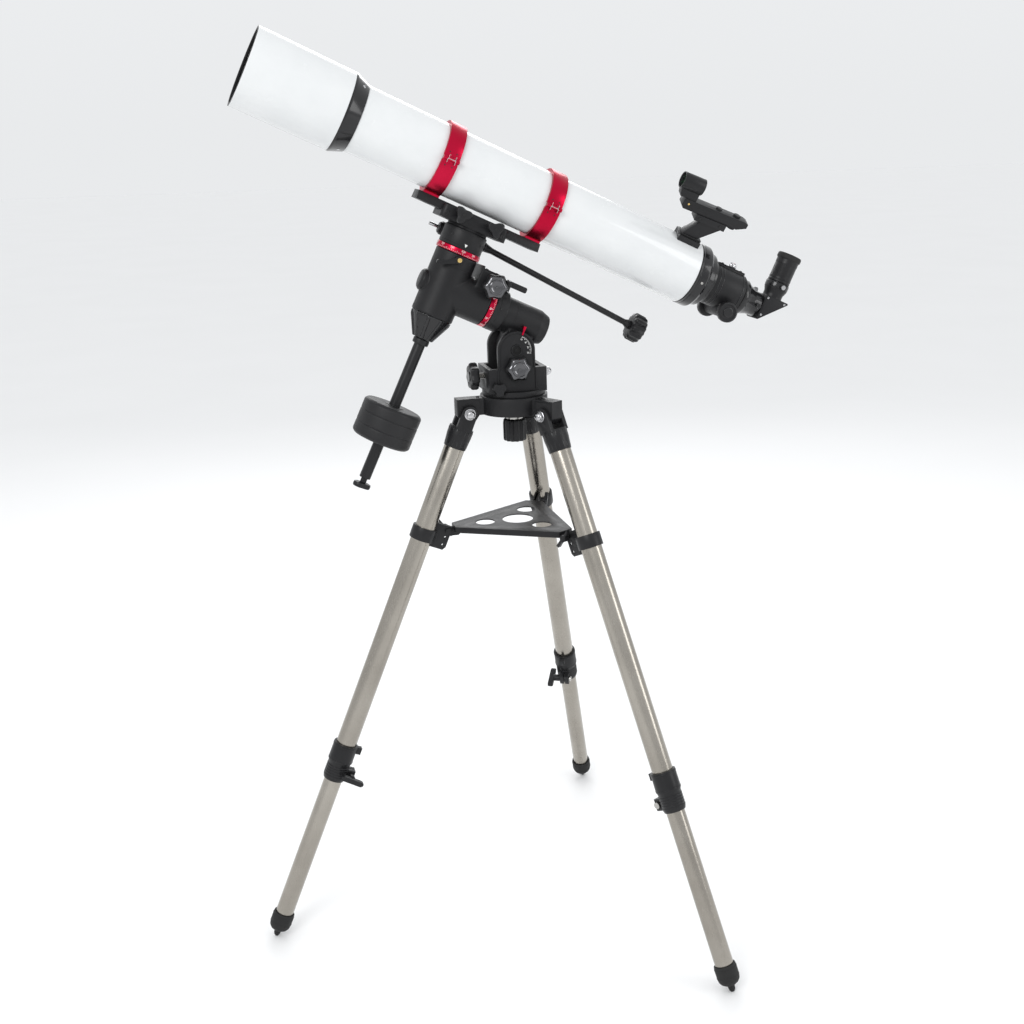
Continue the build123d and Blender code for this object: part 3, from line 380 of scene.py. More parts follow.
def skin(bm, rows):
    """Quads between neighbouring loops of vertices."""
    for low, high in zip(rows, rows[1:]):
        for k in range(len(low)):
            bm.faces.new((low[k - 1], low[k], high[k], high[k - 1]))


def swept(name, bm, rows):
    """Mesh of loops of vertices joined one to the next and closed at both ends."""
    skin(bm, rows)
    bm.faces.new(rows[0])
    bm.faces.new(reversed(rows[-1]))
    return to_mesh(name, bm)


def loft(outline, layers, steps=144):
    """Knob: outline(angle) gives the radius, layers are (inset, height) from bottom to top."""
    bm = bmesh.new()
    turn = [2 * pi * k / steps for k in range(steps)]
    rings = []
    for inset, height in layers:
        ring = []
        for a in turn:
            radius = max(outline(a) - inset, 0.5)
            ring.append(bm.verts.new((radius * cos(a), radius * sin(a), height)))
        rings.append(ring)
    skin(bm, rings)
    for ring, height in ((rings[0], layers[0][1]), (rings[-1], layers[-1][1])):
        centre = bm.verts.new((0, 0, height))
        for k in range(steps):
            bm.faces.new((ring[k - 1], ring[k], centre))
    return to_mesh("loft", bm)


def knurled(radius, teeth, depth, power=1.0):
    """Round outline with a hollow between every two teeth."""
    return lambda a: radius - depth * (0.5 - 0.5 * cos(teeth * a)) ** power


def hexagon(reach):
    """Outline of a nut whose corners lie at a radius."""
    return lambda a: reach * cos(pi / 6) / cos((a % (pi / 3)) - pi / 6)


def slab(outline, low, high, bevel):
    """Flat piece with an (x, y) outline between two heights, its edges rounded."""
    bm = bmesh.new()
    bottom = [bm.verts.new((x, y, low)) for x, y in outline]
    top = [bm.verts.new((x, y, high)) for x, y in outline]
    bm.faces.new(reversed(bottom))
    bm.faces.new(top)
    skin(bm, [bottom, top])
    if bevel:
        bmesh.ops.bevel(bm, geom=bm.edges[:], offset=bevel, segments=2, profile=0.5, affect="EDGES")
    return to_mesh("slab", bm)


def block(x, y, z, bevel):
    return slab([(x[0], y[0]), (x[1], y[0]), (x[1], y[1]), (x[0], y[1])], *z, bevel)


def merged(*meshes):
    """One mesh from several, each either a mesh or (mesh, matrix)."""
    bm = bmesh.new()
    for item in meshes:
        mesh, matrix = item if isinstance(item, tuple) else (item, None)
        if matrix is not None:
            mesh.transform(matrix)
        bm.from_mesh(mesh)
        bpy.data.meshes.remove(mesh)
    mesh = bpy.data.meshes.new("merged")
    bm.to_mesh(mesh)
    bm.free()
    return mesh


def applied(mesh, *modifiers):
    """Mesh with modifiers applied, each (kind, settings)."""
    carrier = bpy.data.objects.new("carrier", mesh)
    bpy.context.collection.objects.link(carrier)
    for kind, settings in modifiers:
        modifier = carrier.modifiers.new(kind, kind)
        for key, value in settings.items():
            setattr(modifier, key, value)
    graph = bpy.context.evaluated_depsgraph_get()
    result = bpy.data.meshes.new_from_object(carrier.evaluated_get(graph))
    bpy.data.objects.remove(carrier)
    return result


def cad_copy(node_name):
    """Welded copy of a CAD node's mesh, flat faces made whole again, in metres."""
    bm = bmesh.new()
    bm.from_mesh(frame["nodes"][node_name].data)
    bmesh.ops.remove_doubles(bm, verts=bm.verts, dist=WELD)
    bmesh.ops.dissolve_limit(bm, angle_limit=radians(1.0), verts=bm.verts, edges=bm.edges)
    mesh = bpy.data.meshes.new("copy")
    bm.to_mesh(mesh)
    bm.free()
    return mesh


METRES = Matrix.Scale(1 / MM, 4)


def bevelled(node_name, width, name=None):
    """A CAD node's shape with every sharp edge rounded off, standing for the node."""
    bevel = {"width": width * MM, "segments": 2, "limit_method": "ANGLE", "angle_limit": radians(BEVEL_FROM)}
    mesh = applied(cad_copy(node_name), ("BEVEL", bevel))
    material = SLOT_MATERIALS[NODE_SLOT[node_name]]
    return stand_in(name or node_name + "_shape", mesh, METRES, material, node_name)


def cast(node_name, voxel, rounds):
    """A CAD node's shape with blended inner corners and soft edges, as poured metal has."""
    remesh = {"mode": "VOXEL", "voxel_size": voxel * MM}
    mesh = applied(
        cad_copy(node_name), ("REMESH", remesh), ("SMOOTH", {"factor": 0.5, "iterations": rounds}),
    )
    material = SLOT_MATERIALS[NODE_SLOT[node_name]]
    return stand_in(node_name + "_shape", mesh, METRES, material, node_name, 80.0)


# ---- optical tube ------------------------------------------------------------
def tube_lathe(name, profile, material, node, ease=0.5, steps=160):
    """Body of revolution about the optical axis, heights being distances to the rear."""
    return place(name, lathe(profile, ease, True, steps), TUBE @ TO_X, material, node)


def screw_head(radius, height):
    """Small screw head with a hexagon recess, its top at z = height."""
    recess = radius * 0.5
    floor = height * 0.45
    profile = [(0, 0), (radius, 0), (radius, height), (recess, height), (recess * 0.9, floor), (0, floor)]
    mesh = lathe(profile, radius * 0.12, steps=24)
    for vert in mesh.vertices:
        reach = hypot(vert.co.x, vert.co.y)
        if 1e-4 < reach < recess * 1.02:
            angle = atan2(vert.co.y, vert.co.x) % (pi / 3) - pi / 6
            factor = cos(pi / 6) / cos(angle)
            vert.co.x *= factor
            vert.co.y *= factor
    return mesh


def optical_tube():
    barrel = tube_lathe(
        "tube_barrel", [(51, -243), (TUBE_R, -243), (TUBE_R, 375), (51, 375)], WHITE, "main_tube",
    )
    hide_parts("main_tube")
    outer = [(61.5, -404.4), (62.75, -404.4), (62.75, -250.2), (61.5, -250.2)]
    shield = tube_lathe("dew_shield_shell", outer, WHITE, "dew_shield")
    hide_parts("dew_shield")
    rim = [(58.9, -405), (62.7, -405), (62.7, -404.5), (61.4, -404.3), (61.4, -400), (58.9, -401)]
    tube_lathe("dew_shield_rim", rim, PLASTIC, "dew_shield", 0.3)
    inside = [(61.4, -400)]
    for step in range(36):
        x = -399 + step * 3.5
        inside += [(60.9, x), (60.3, x + 1.7)]
    inside += [(60.9, -271), (61.4, -271)]
    tube_lathe("dew_shield_liner", inside, MATT, "dew_shield", 0.2, 128)
    band = [
        (53.05, -225.7), (54.3, -225.7), (62.4, -246), (62.7, -246.6), (62.7, -250.1),
        (60.7, -250.1), (60.7, -276), (52.6, -276), (52.6, -250), (50, -250), (50, -243), (53.05, -243),
    ]
    cell = tube_lathe("objective_cell_band", band, GLOSS, "objective_cell", 0.4)
    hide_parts("objective_cell")
    retainer = [(48.5, -272.6), (50.5, -273), (52.3, -273), (52.3, -266.9), (49, -266.9), (48.5, -267.6)]
    tube_lathe("lens_retainer", retainer, MATT, "objective_cell", 0.3)
    for k in range(3):
        turn = turned(120 * k + 40, "X")
        where = TUBE @ turn @ aimed((-235.5, 0, 57.6), (0.38, 0, 0.92))
        place(f"cell_screw_{k}", screw_head(2.4, 1.2), where, CHROME, "objective_cell")


def rear_end():
    profile = [
        (45, 362), (50.9, 362), (50.9, 375.2), (53.6, 375.2), (53.6, 378.2), (53.1, 378.9), (53.1, 380.4),
        (53.6, 381.1), (53.6, 394), (50.4, 398), (46.6, 400), (45.6, 408.8), (37.6, 412), (37.6, 417),
        (30, 417), (30, 402), (45, 396),
    ]
    cell = tube_lathe("rear_cell_shell", profile, GLOSS, "rear_cell", 0.9)
    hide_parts("rear_cell")
    for k in range(3):
        turn = turned(120 * k - 20, "X")
        where = TUBE @ turn @ aimed((387.5, 0, 53.2), (0, 0, 1))
        place(f"rear_cell_screw_{k}", screw_head(2.2, 1.3), where, STEEL, "rear_cell")


def focuser():
    bevelled("focuser_body", 1.0)
    for k, x in enumerate((424.5, 431, 470.5)):
        ring = [(35.02, x - 0.8), (35.5, x - 0.5), (35.5, x + 0.5), (35.02, x + 0.8)]
        tube_lathe(f"focuser_ring_{k}", ring, GLOSS, "focuser_body", 0.2)
    plate = block((421, 472), (-10, 10), (37.4, 38.4), 0.4)
    place("focuser_plate", plate, TUBE, CASTING, "focuser_body")
    for k, x in enumerate((428, 465)):
        place(
            f"focuser_plate_screw_{k}", screw_head(2.2, 1.4), TUBE @ at(x, -6, 38.4), BLACKED, None, "tube",
        )
    for side in (-1, 1):
        for k, x in enumerate((446, 464)):
            where = aimed((x, side * 24.2, -27), (0, side, 0), TUBE)
            place(f"pinion_screw_{k}_{side + 1}", screw_head(1.9, 1.2), where, STEEL, "focuser_body")


def focus_knobs():
    outline = knurled(17.5, 40, 0.8)
    layers = [
        (2.2, 0), (0.6, 0.6), (0, 1.6), (0, 10.6), (0.5, 11.6), (2.4, 12.2), (4.2, 12.2), (4.6, 11.4),
        (9, 11.1),
    ]
    for side in (-1, 1):
        where = aimed((PINION[0], side * 36.8, PINION[1]), (0, side, 0), TUBE)
        stand_in(f"focus_knob_{side + 1}", loft(outline, layers, 240), where, PLASTIC, "focus_pinion")
        collar = pipe(3, 8, -3.4, 0.2, 0.5)
        place(f"focus_collar_{side + 1}", collar, where, PLASTIC, "focus_pinion")
        cap = lathe([(0, 11.0), (8.6, 11.0), (8.6, 12.6), (7.4, 13.1), (0, 13.1)], 0.5, steps=64)
        place(f"focus_cap_{side + 1}", cap, where, GLOSS, "focus_pinion")
    shaft = bar(3, -37, 37, 0.2)
    spur = loft(lambda a: 5.85 + 1.05 * max(-1, min(1, 1.6 * cos(12 * a))), [(0, -4.6), (0, 4.6)], 288)
    where = aimed((PINION[0], 0, PINION[1]), (0, 1, 0), TUBE)
    place("focus_shaft", merged(shaft, spur), where, STEEL, "focus_pinion")


def drawtube_end():
    bevelled("drawtube", 0.4)
    for k, angle in enumerate((-95.0, 25.0)):
        out = (0, sin(radians(angle)), cos(radians(angle)))
        where = aimed((512, out[1] * 22.6, out[2] * 22.6), out, TUBE)
        head = loft(knurled(4.4, 20, 0.35), [(0.5, 0), (0, 0.5), (0, 5.6), (0.6, 6.3), (4.2, 6.4)], 120)
        place(f"back_screw_{k}", head, where, CHROME, "drawtube")
    lock = bar(2.5, 26.5, 39.2)
    stand_in("drawtube_lock_shank", lock, TUBE @ at(DRAW_LOCK_X, 0, 0), CHROME, "drawtube_lock")
    head = loft(knurled(6.1, 28, 0.4), [(0.7, 39), (0, 39.8), (0, 45.6), (0.6, 46.6), (5.6, 46.9)], 168)
    place("drawtube_lock_head", head, TUBE @ at(DRAW_LOCK_X, 0, 0), CHROME, "drawtube_lock")
    gem = lathe([(0, 46.6), (3.6, 46.6), (3.4, 47.0), (0, 47.2)], 0.2, steps=48)
    place("drawtube_lock_cap", gem, TUBE @ at(DRAW_LOCK_X, 0, 0), RED, "drawtube_lock")


def star_diagonal():
    bevelled("diagonal_body", 0.7)
    centre = at(DIAGONAL_X, 0, 0)
    for side in (-1, 1):
        for k, (x, z) in enumerate(((-17.5, 17.5), (15.5, 18), (-17.8, -13.5))):
            where = TUBE @ centre @ aimed((x, side * 21, z), (0, side, 0))
            place(f"diagonal_screw_{k}_{side + 1}", screw_head(1.9, 0.8), where, CHROME, "diagonal_body")
        plate = slab([(-20.4, 20.4), (18.8, 20.4), (-20.4, -18.8)], 0, 0.7, 0.3)
        turn = turned(90, "X")
        place(
            f"diagonal_side_{side + 1}", plate,
            TUBE @ centre @ at(0, side * 21 + (0.7 if side > 0 else 0), 0) @ turn, CASTING, "diagonal_body",
        )
    ring = lathe([(20.22, 40), (20.75, 40.4), (20.75, 47.2), (20.22, 47.6)], 0.2, True)
    place("diagonal_holder_ring", ring, TUBE @ at(EYEPIECE_X, 0, 0), GLOSS, "diagonal_body")
    where = aimed((EYEPIECE_X, -22.4, 43), (0, -1, 0), TUBE)
    head = loft(knurled(4.4, 20, 0.35), [(0.5, 0), (0, 0.5), (0, 5.2), (0.6, 5.8), (4.2, 5.9)], 120)
    place("diagonal_set_screw", head, where, CHROME, "diagonal_body")


def eyepiece_pieces():
    axis = TUBE @ at(EYEPIECE_X, 0, 0)
    shell = [
        (13.5, 25), (15.85, 25), (15.85, 49.4), (18.4, 49.4), (19.3, 50.3), (19.3, 53), (18.9, 53.4),
        (18.9, 54.6), (19.3, 55), (19.3, 58), (19.0, 58.4),
    ]
    for k in range(14):
        z = 59 + k * 1.6
        shell += [(19.3, z), (18.75, z + 0.8)]
    shell += [
        (19.3, 82), (19.3, 89.6), (20.7, 92.2), (20.8, 97.4), (19.6, 99.4), (12, 99.5), (9.6, 96.4),
        (8.6, 93), (13.5, 93),
    ]
    stand_in("eyepiece_shell", lathe(shell, 0.35, True, 128), axis, PLASTIC, "eyepiece")
    barrel = lathe([(15.87, 26), (15.9, 26.4), (15.9, 49.2), (15.87, 49.3)], 0.1, True)
    place("eyepiece_barrel_sleeve", barrel, axis, CHROME, "eyepiece")
    rubber = lathe(
        [
            (19.32, 90), (21.0, 92), (21.1, 97.6), (19.9, 99.8), (13.4, 99.9), (12.6, 99.2), (19.0, 98.6),
            (19.3, 92),
        ],
        0.5, True, 128,
    )
    place("eyepiece_rubber", rubber, axis, RUBBER, "eyepiece")
    for k, (low, high, sag) in enumerate(((52, 56, 1.2), (86, 92, 2.0))):
        rise = [(13.4 * t / 6, high + sag * (1 - (t / 6) ** 2)) for t in range(7)]
        fall = [(13.4 * t / 6, low - sag * (1 - (t / 6) ** 2)) for t in range(6, -1, -1)]
        lens = lathe(rise + fall, 0.05, steps=64)
        place(f"eyepiece_lens_{k}", lens, axis, GLASS, None, "eyepiece")


# ---- finder ------------------------------------------------------------------
def finder():
    bevelled("finder_bracket", 0.8)
    bevelled("finder_body", 1.2)
    for name, x in (("front", 283.2), ("rear", 319.4)):
        rim = lathe([(12.1, -0.2), (13.3, -0.2), (13.55, 1.4), (12.4, 2.0), (12.1, 1.2)], 0.4, True, 64)
        place(f"finder_rim_{name}", rim, SIGHT @ aimed((x, 0, SIGHT_Z), (1, 0, 0)), GLOSS, "finder_body")
    window = bar(12.05, 0, 1.8, 0.1, 64)
    place("finder_window", window, SIGHT @ aimed((288, 0, SIGHT_Z), (1, 0, 0)), GLASS, "finder_body")
    wheel = loft(knurled(6.2, 26, 0.5), [(0.8, 0), (0, 0.7), (0, 4.2), (0.7, 4.9), (4, 5)], 156)
    place("finder_switch", wheel, SIGHT @ aimed((398, 0, 119.5), (0, 0, 1)), PLASTIC, "finder_body")
    aim = loft(knurled(8.4, 24, 0.7), [(0.8, 0), (0, 0.7), (0, 4.6), (0.7, 5.3), (5, 5.4)], 144)
    place("finder_aim_wheel", aim, SIGHT @ aimed((410, 12.6, 106), (0, 1, 0)), PLASTIC, "finder_body")
    under = loft(knurled(7.6, 24, 0.6), [(0.8, 0), (0, 0.7), (0, 4.2), (0.7, 4.9), (4, 5)], 144)
    place("finder_tilt_wheel", under, SIGHT @ aimed((397, 0, 104.4), (0, 0, -1)), PLASTIC, "finder_body")
    for k, x in enumerate((338, 376)):
        place(
            f"finder_clamp_screw_{k}", screw_head(2.1, 1.2), SIGHT @ aimed((x, -12.4, 98.5), (0, -1, 0)),
            BLACKED, None, "tube",
        )
    place(
        "finder_pivot_screw", screw_head(1.7, 0.9), SIGHT @ aimed((309, -10.9, 114), (0, -1, 0)), BRASS,
        None, "tube",
    )
    knob = loft(knurled(7.1, 22, 0.6), [(0.8, 0), (0, 0.7), (0, 7), (0.7, 7.8), (5, 8)], 132)
    place("finder_shoe_knob", knob, FINDER @ aimed((343, 18, 58), (0, 1, 0)), PLASTIC, "finder_bracket")


# ---- rings, dovetail and saddle ----------------------------------------------
def ring_pair(which, centre):
    lower_body, upper_body = "dovetail", f"ring_{which}"
    bevelled(f"ring_{which}_lower", 0.5)
    bevelled(f"ring_{which}_upper", 0.5)
    for sign, tag in ((-1, "lower"), (1, "upper")):
        for side in (-1, 1):
            start, end = (4, 176)
            bm = bmesh.new()
            rows = []
            for step in range(49):
                a = radians(start + (end - start) * step / 48) * sign
                row = []
                for r, x in ((53.1, 13.05), (58.3, 13.05), (58.3, 13.35), (53.1, 13.35)):
                    row.append(bm.verts.new((centre + side * x, r * cos(a), r * sin(a))))
                rows.append(row)
            name = f"ring_{which}_{tag}_face_{side + 1}"
            place(name, swept("face", bm, rows), TUBE, RED, f"ring_{which}_{tag}")
    for side in (-1, 1):
        leaves = ((lower_body, -1, "lower", 6.4, (-6.4, -0.35)), (upper_body, 1, "upper", 5.5, (0.35, 6.4)))
        for body, sign, tag, offset, height in leaves:
            spot = TUBE @ at(centre + side * offset, 0, 0)
            leaf = block((-0.38, 0.38), (-65.4, -57.6), height, 0.15)
            place(f"ring_{which}_leaf_{tag}_{side + 1}", leaf, spot, CHROME, None, body)
            turn = radians(180 - sign * 10.4)
            out = (0, cos(turn), sin(turn))
            where = TUBE @ aimed((centre + side * 5.9, 58.4 * out[1], 58.4 * out[2]), out)
            place(f"ring_{which}_dot_{tag}_{side + 1}", screw_head(1.1, 0.5), where, BLACKED, None, body)
    line = block((-6.4, 6.4), (-65.3, -64.2), (-0.55, 0.55), 0.2)
    place(f"ring_{which}_pin_line", line, TUBE @ at(centre, 0, 0), CHROME, None, lower_body)
    knob = loft(knurled(9.5, 30, 0.6), [(1, 10.2), (0, 11), (0, 21), (1, 22.4), (3.4, 23), (5, 22.6)], 180)
    place(f"ring_{which}_knob", knob, TUBE @ at(centre, 66.5, 0), PLASTIC, None, upper_body)


def saddle_group():
    bevelled("dovetail_bar", 0.7)
    bevelled("saddle", 1.0)
    layers = [(2.0, 0), (0.6, 0.5), (0, 1.8), (0, 7.6), (0.8, 9.2), (2.6, 10), (5.0, 10.3)]
    for k, x in enumerate((-26, 31)):
        where = POLAR @ aimed((x, -44, 116), (0, -1, 0)) @ Matrix.Rotation(0.4 + 0.5 * k, 4, "Z")
        stand_in(f"saddle_knob_{k}", loft(knurled(15, 3, 6.0, 0.8), layers), where, PLASTIC, "saddle_knobs")
        neck = lathe(
            [(0, -22), (3, -22), (3, -9.5), (6.5, -9.5), (6.8, -1), (5.5, 0.2), (0, 0.2)], 0.5, steps=48,
        )
        place(f"saddle_neck_{k}", neck, where, PLASTIC, "saddle_knobs")
        place(f"saddle_dot_{k}", screw_head(2.6, 1.0), where @ at(0, 0, 10.1), BLACKED, None, "dec_axis")
    for k, x in enumerate((-47, 48)):
        place(
            f"saddle_bolt_{k}", screw_head(3.2, 1.4), POLAR @ aimed((x, -34, 110), (0, -1, 0)), BLACKED,
            None, "dec_axis",
        )


# ---- declination axis --------------------------------------------------------
def circle_marks(radius, middle, width, count, numbers, step_label, flip=1):
    """Ticks and numbers standing on a cylinder about z."""
    bm = bmesh.new()
    for k in range(count):
        angle = 2 * pi * k / count
        tall = width * (0.62 if k % 6 == 0 else 0.42 if k % 3 == 0 else 0.26)
        low = middle - width / 2 if flip > 0 else middle + width / 2 - tall
        half = MARK_HALF / radius
        corners = [(-half, low), (half, low), (half, low + tall), (-half, low + tall)]
        faces = []
        for r in (radius - 0.05, radius + 0.06):
            faces.append([bm.verts.new((r * cos(angle + a), r * sin(angle + a), z)) for a, z in corners])
        bm.faces.new(faces[1])
        bm.faces.new(reversed(faces[0]))
        skin(bm, faces)
    ticks = to_mesh("ticks", bm)
    labels = []
    for k in range(numbers):
        angle = 2 * pi * k / numbers
        mesh = lettering(str(k * step_label), width * 0.42, 0.12)
        top = middle + flip * width * 0.26
        spin = Matrix.Rotation(angle, 4, "Z")
        stand = at(radius, 0, top) @ Matrix(((0, 0, 1, 0), (1, 0, 0, 0), (0, 1, 0, 0), (0, 0, 0, 1)))
        labels.append((mesh, spin @ stand))
    return merged(ticks, *labels)


def lettering(text, height, depth):
    """Mesh of plain digits, centred, lying in the xy plane."""
    curve = bpy.data.curves.new("digits", "FONT")
    curve.body = text
    curve.size = height * 1.4
    curve.align_x = "CENTER"
    curve.align_y = "CENTER"
    curve.extrude = depth / 2
    curve.resolution_u = 2
    carrier = bpy.data.objects.new("digits", curve)
    bpy.context.collection.objects.link(carrier)
    graph = bpy.context.evaluated_depsgraph_get()
    graph.update()
    mesh = bpy.data.meshes.new_from_object(carrier.evaluated_get(graph))
    bpy.data.objects.remove(carrier)
    return mesh


def dec_group():
    bevelled("dec_head", 1.4)
    for k, z in enumerate((71.5, 94.0)):
        groove = hoop(35.4, 35.9, z, 0.5, 0.3, 0.15, 128)
        place(f"dec_head_ring_{k}", groove, POLAR, CASTING, "dec_head")
    mark = slab([(-2.4, 3.2), (2.4, 3.2), (0, -2.4)], 0, 0.25, 0.05)
    place("dec_index", mark, POLAR @ aimed_up((0, -35.5, 73), (0, -1, 0)), PRINT, None, "dec_axis")
    for x, side in ((-34, -1), (34, 1)):
        boss = lathe([(3.2, 0), (9.6, 0), (9.6, 2.6), (8, 4), (3.2, 4)], 0.5, True, 64)
        place(
            f"dec_worm_boss_{side + 1}", boss, POLAR @ aimed((x, 31, 86), (side, 0, 0)), PLASTIC, "dec_head",
        )
    tip = lathe([(0, 38.4), (3.05, 38.4), (3.05, 53.4), (2.5, 54.2), (0, 54.2)], 0.3, steps=32)
    place("dec_worm_tip", tip, POLAR @ aimed((0, 31, 86), (-1, 0, 0)), CHROME, "dec_worm")
    for k in (2, 3):
        x, y = cos(radians(45 + 90 * k)), sin(radians(45 + 90 * k))
        where = POLAR @ at(35.3 * x, 35.3 * y, 84) @ aimed((0, 0, 0), (x, y, 0))
        place(f"dec_grub_{k}", screw_head(2.2, 0.7), where, BLACKED, "dec_head")
    profile = [(32.05, 58), (35.9, 58), (36.5, 58.5), (36.5, 66.4), (36.0, 66.95), (32.05, 67)]
    stand_in("dec_circle_ring", lathe(profile, 0.2, True, 192), POLAR, RED, "dec_circle")
    place("dec_circle_marks", circle_marks(36.5, 62.5, 7.6, 72, 12, 30, 1), POLAR, PRINT, "dec_circle")
    slope = radians(4)
    outward = (cos(slope), 0, -sin(slope))
    where = POLAR @ aimed((40, 31, 86), outward)
    sleeve = [(0, 1), (8.2, 1), (8.6, 2.2), (8.2, 5)]
    for k in range(6):
        z = 6 + k * 2.0
        sleeve += [(7.6 - 0.35 * k, z), (6.9 - 0.35 * k, z + 1.0)]
    z = 19.0
    while z < 277:
        sleeve += [(5.25, z), (4.85, z + 1.1)]
        z += 2.2
    sleeve += [(5.2, 281), (7.4, 286), (7.6, 293), (0, 293)]
    stand_in("slow_motion_sleeve", lathe(sleeve, 0.25, steps=48), where, PLASTIC, "dec_control_shaft")
    outline = knurled(24, 14, 1.9, 0.6)
    layers = [
        (11, 291.6), (5, 291.9), (1.6, 293.2), (0, 295.4), (0, 311.6), (1.0, 314), (2.6, 315.6), (5, 316.6),
        (9, 316.2), (13, 315.6),
    ]
    place("slow_motion_knob", loft(outline, layers, 336), where, PLASTIC, "dec_control_shaft")
    cap = lathe([(0, 315.2), (8, 315.4), (8, 316.8), (6.5, 317.4), (0, 317.4)], 0.4, steps=48)
    place("slow_motion_cap", cap, where, GLOSS, "dec_control_shaft")


def dec_lever():
    where = POLAR @ aimed_up((0, -37.4, 0), (0, -1, 0))
    upper = [(-2.0, 55.6), (-6.5, 53.6), (-13, 47.2), (-19, 43.4), (-27, 40.4), (-32, 39.4), (-35, 37.6)]
    lower = [(-35.6, 34.8), (-33.6, 32.2), (-28, 32.8), (-20, 36.2), (-14, 39.0), (-6, 43.0), (-1, 44.8)]
    blade = slab([*eased(upper + lower, 1.4, True)], 0.2, 5.0, 0.9)
    stand_in("dec_clutch_blade", blade, where, PLASTIC, "dec_clutch")
    hub = lathe([(0, 0.2), (6.6, 0.2), (6.6, 4.2), (5.8, 5.6), (4.4, 5.8), (0, 5.8)], 0.4, steps=64)
    place("dec_clutch_hub", hub, where @ at(-2.3, 49.8, 0), PLASTIC, "dec_clutch")
    place("dec_clutch_bolt", screw_head(3.7, 2.2), where @ at(-2.3, 49.8, 5.6), BRASS, "dec_clutch")
    shank = bar(3, -16, 0.4, 0.2)
    place("dec_clutch_shank", shank, where @ at(-2.3, 49.8, 0), STEEL, "dec_clutch")


# ---- castings and polar axis -------------------------------------------------
def star_knob(name, where, node, radius=21.6):
    """Six-lobed hand knob with a broad chrome cap, its metal darkened as a painted dark reflection; z = 0 is
    its face against the mount.
    """
    layers = [
        (8, 0.2), (5.0, 0.6), (2.0, 2.2), (0.4, 5.0), (0, 7.2), (0.5, 10.2), (2.2, 12.8), (4.6, 13.9),
        (7.5, 14.1),
    ]
    stand_in(name, loft(knurled(radius, 6, 3.6, 0.8), layers, 216), where, PLASTIC, node)
    cap_outline = knurled(radius - 2.6, 6, 2.6, 0.8)
    rows = [(0.4, 11.9), (0, 12.6), (0.5, 13.8), (1.9, 15.1), (4.2, 16.0), (6.6, 16.2)]
    # cap, bowl and boss take the chrome whose dark tone is a painted reflection
    place(name + "_cap", loft(cap_outline, rows, 216), where, CHROME_PAINTED_DARK_REFLECTION, node)
    bowl = [(12.3, 15.9), (11.7, 17.2), (10.2, 18.2), (8.8, 18.1), (6.6, 17.1), (3.6, 16.5), (0, 16.4)]
    place(name + "_bowl", lathe([*bowl, (0, 15.5), (12, 15.5)], 0.5, True, 96), where, CHROME_PAINTED_DARK_REFLECTION, node)
    boss = lathe([(0, 16.2), (1.9, 16.2), (2.1, 17.0), (1.5, 17.5), (0, 17.6)], 0.3, steps=48)
    place(name + "_boss", boss, where, CHROME_PAINTED_DARK_REFLECTION, node)


def polar_group():
    cast("polar_casting", 1.1, 7)
    seam = hoop(34.35, 34.75, 0, 0.45, 0.25, 0.1, 128)
    place("polar_seam", seam, POLAR @ at(0, 0, 36), CASTING, "polar_casting")
    cone = cast("counterweight_cone", 0.9, 4)
    cone.data.materials[0] = GLOSS
    for k in range(3):
        angle = radians(60 + 120 * k)
        where = POLAR @ aimed((34.3 * cos(angle), 34.3 * sin(angle), -42), (cos(angle), sin(angle), 0))
        place(f"cone_screw_{k}", screw_head(2.0, 0.7), where, BLACKED, None, "polar_axis")
    where = POLAR @ aimed_up((67, -37, 34), (0, -1, 0)) @ Matrix.Rotation(0.3, 4, "Z")
    star_knob("ra_worm_knob", where, "ra_worm")
    shaft = bar(3, -68, 3, 0.4)
    hub = pipe(3, 8, -9.7, 0.4, 0.4)
    thread = helical(3.6, 6.0, -46, -28, 3.14)
    place("ra_worm_shaft", merged(shaft, hub, thread), where, STEEL, "ra_worm")
    block_lid = block((47, 82), (-25, 25), (53, 54.6), 0.7)
    place("worm_block_lid", block_lid, POLAR, CASTING, "polar_casting")
    for k, (x, y) in enumerate(((50, -21), (50, 21), (79, -21), (79, 21))):
        place(
            f"worm_lid_screw_{k}", screw_head(2.2, 1.1), POLAR @ at(x, y, 54.5), BLACKED, None, "polar_axis",
        )
    profile = [(30.05, 74.2), (33.5, 74.2), (34, 74.7), (34, 82.7), (33.5, 83.2), (30.05, 83.2)]
    stand_in("ra_circle_ring", lathe(profile, 0.2, True, 192), POLAR @ TO_X, RED, "ra_circle")
    place("ra_circle_marks", circle_marks(34.0, 78.7, 7.6, 72, 12, 2, -1), POLAR @ TO_X, PRINT, "ra_circle")
    cast("ra_housing", 1.1, 6)
    for k, x in enumerate((91.5, 123.0)):
        radius = 34.5 if x < 100 else 29.0
        seam = hoop(radius - 0.2, radius + 0.3, x, 0.6, 0.3, 0.1, 128)
        place(f"housing_seam_{k}", seam, POLAR @ TO_X, CASTING, "ra_housing")
    cap = lathe([(0, 183.6), (17, 183.6), (17.6, 182.4), (0, 182.4)], 0.3, steps=64)
    place("polar_scope_cap", cap, POLAR @ TO_X, PLASTIC, "ra_housing")
    front = lathe([(0, 42.6), (9, 42.2), (13.6, 40.6), (15.2, 38.4), (0, 38.4)], 0.5, steps=64)
    place("polar_window_cap", front, POLAR @ aimed((0, 0, 0), (-1, 0, 0)), PLASTIC, "polar_casting")
    bevelled("ra_clutch", 0.9)
    place("ra_clutch_bolt", screw_head(3.6, 2.2), POLAR @ at(97, 0, 51), CHROME, "ra_clutch")
    grub = screw_head(2.4, 0.8)
    place("housing_grub", grub, POLAR @ aimed((94, -34.3, 6), (0, -1, 0.15)), BLACKED, "ra_housing")


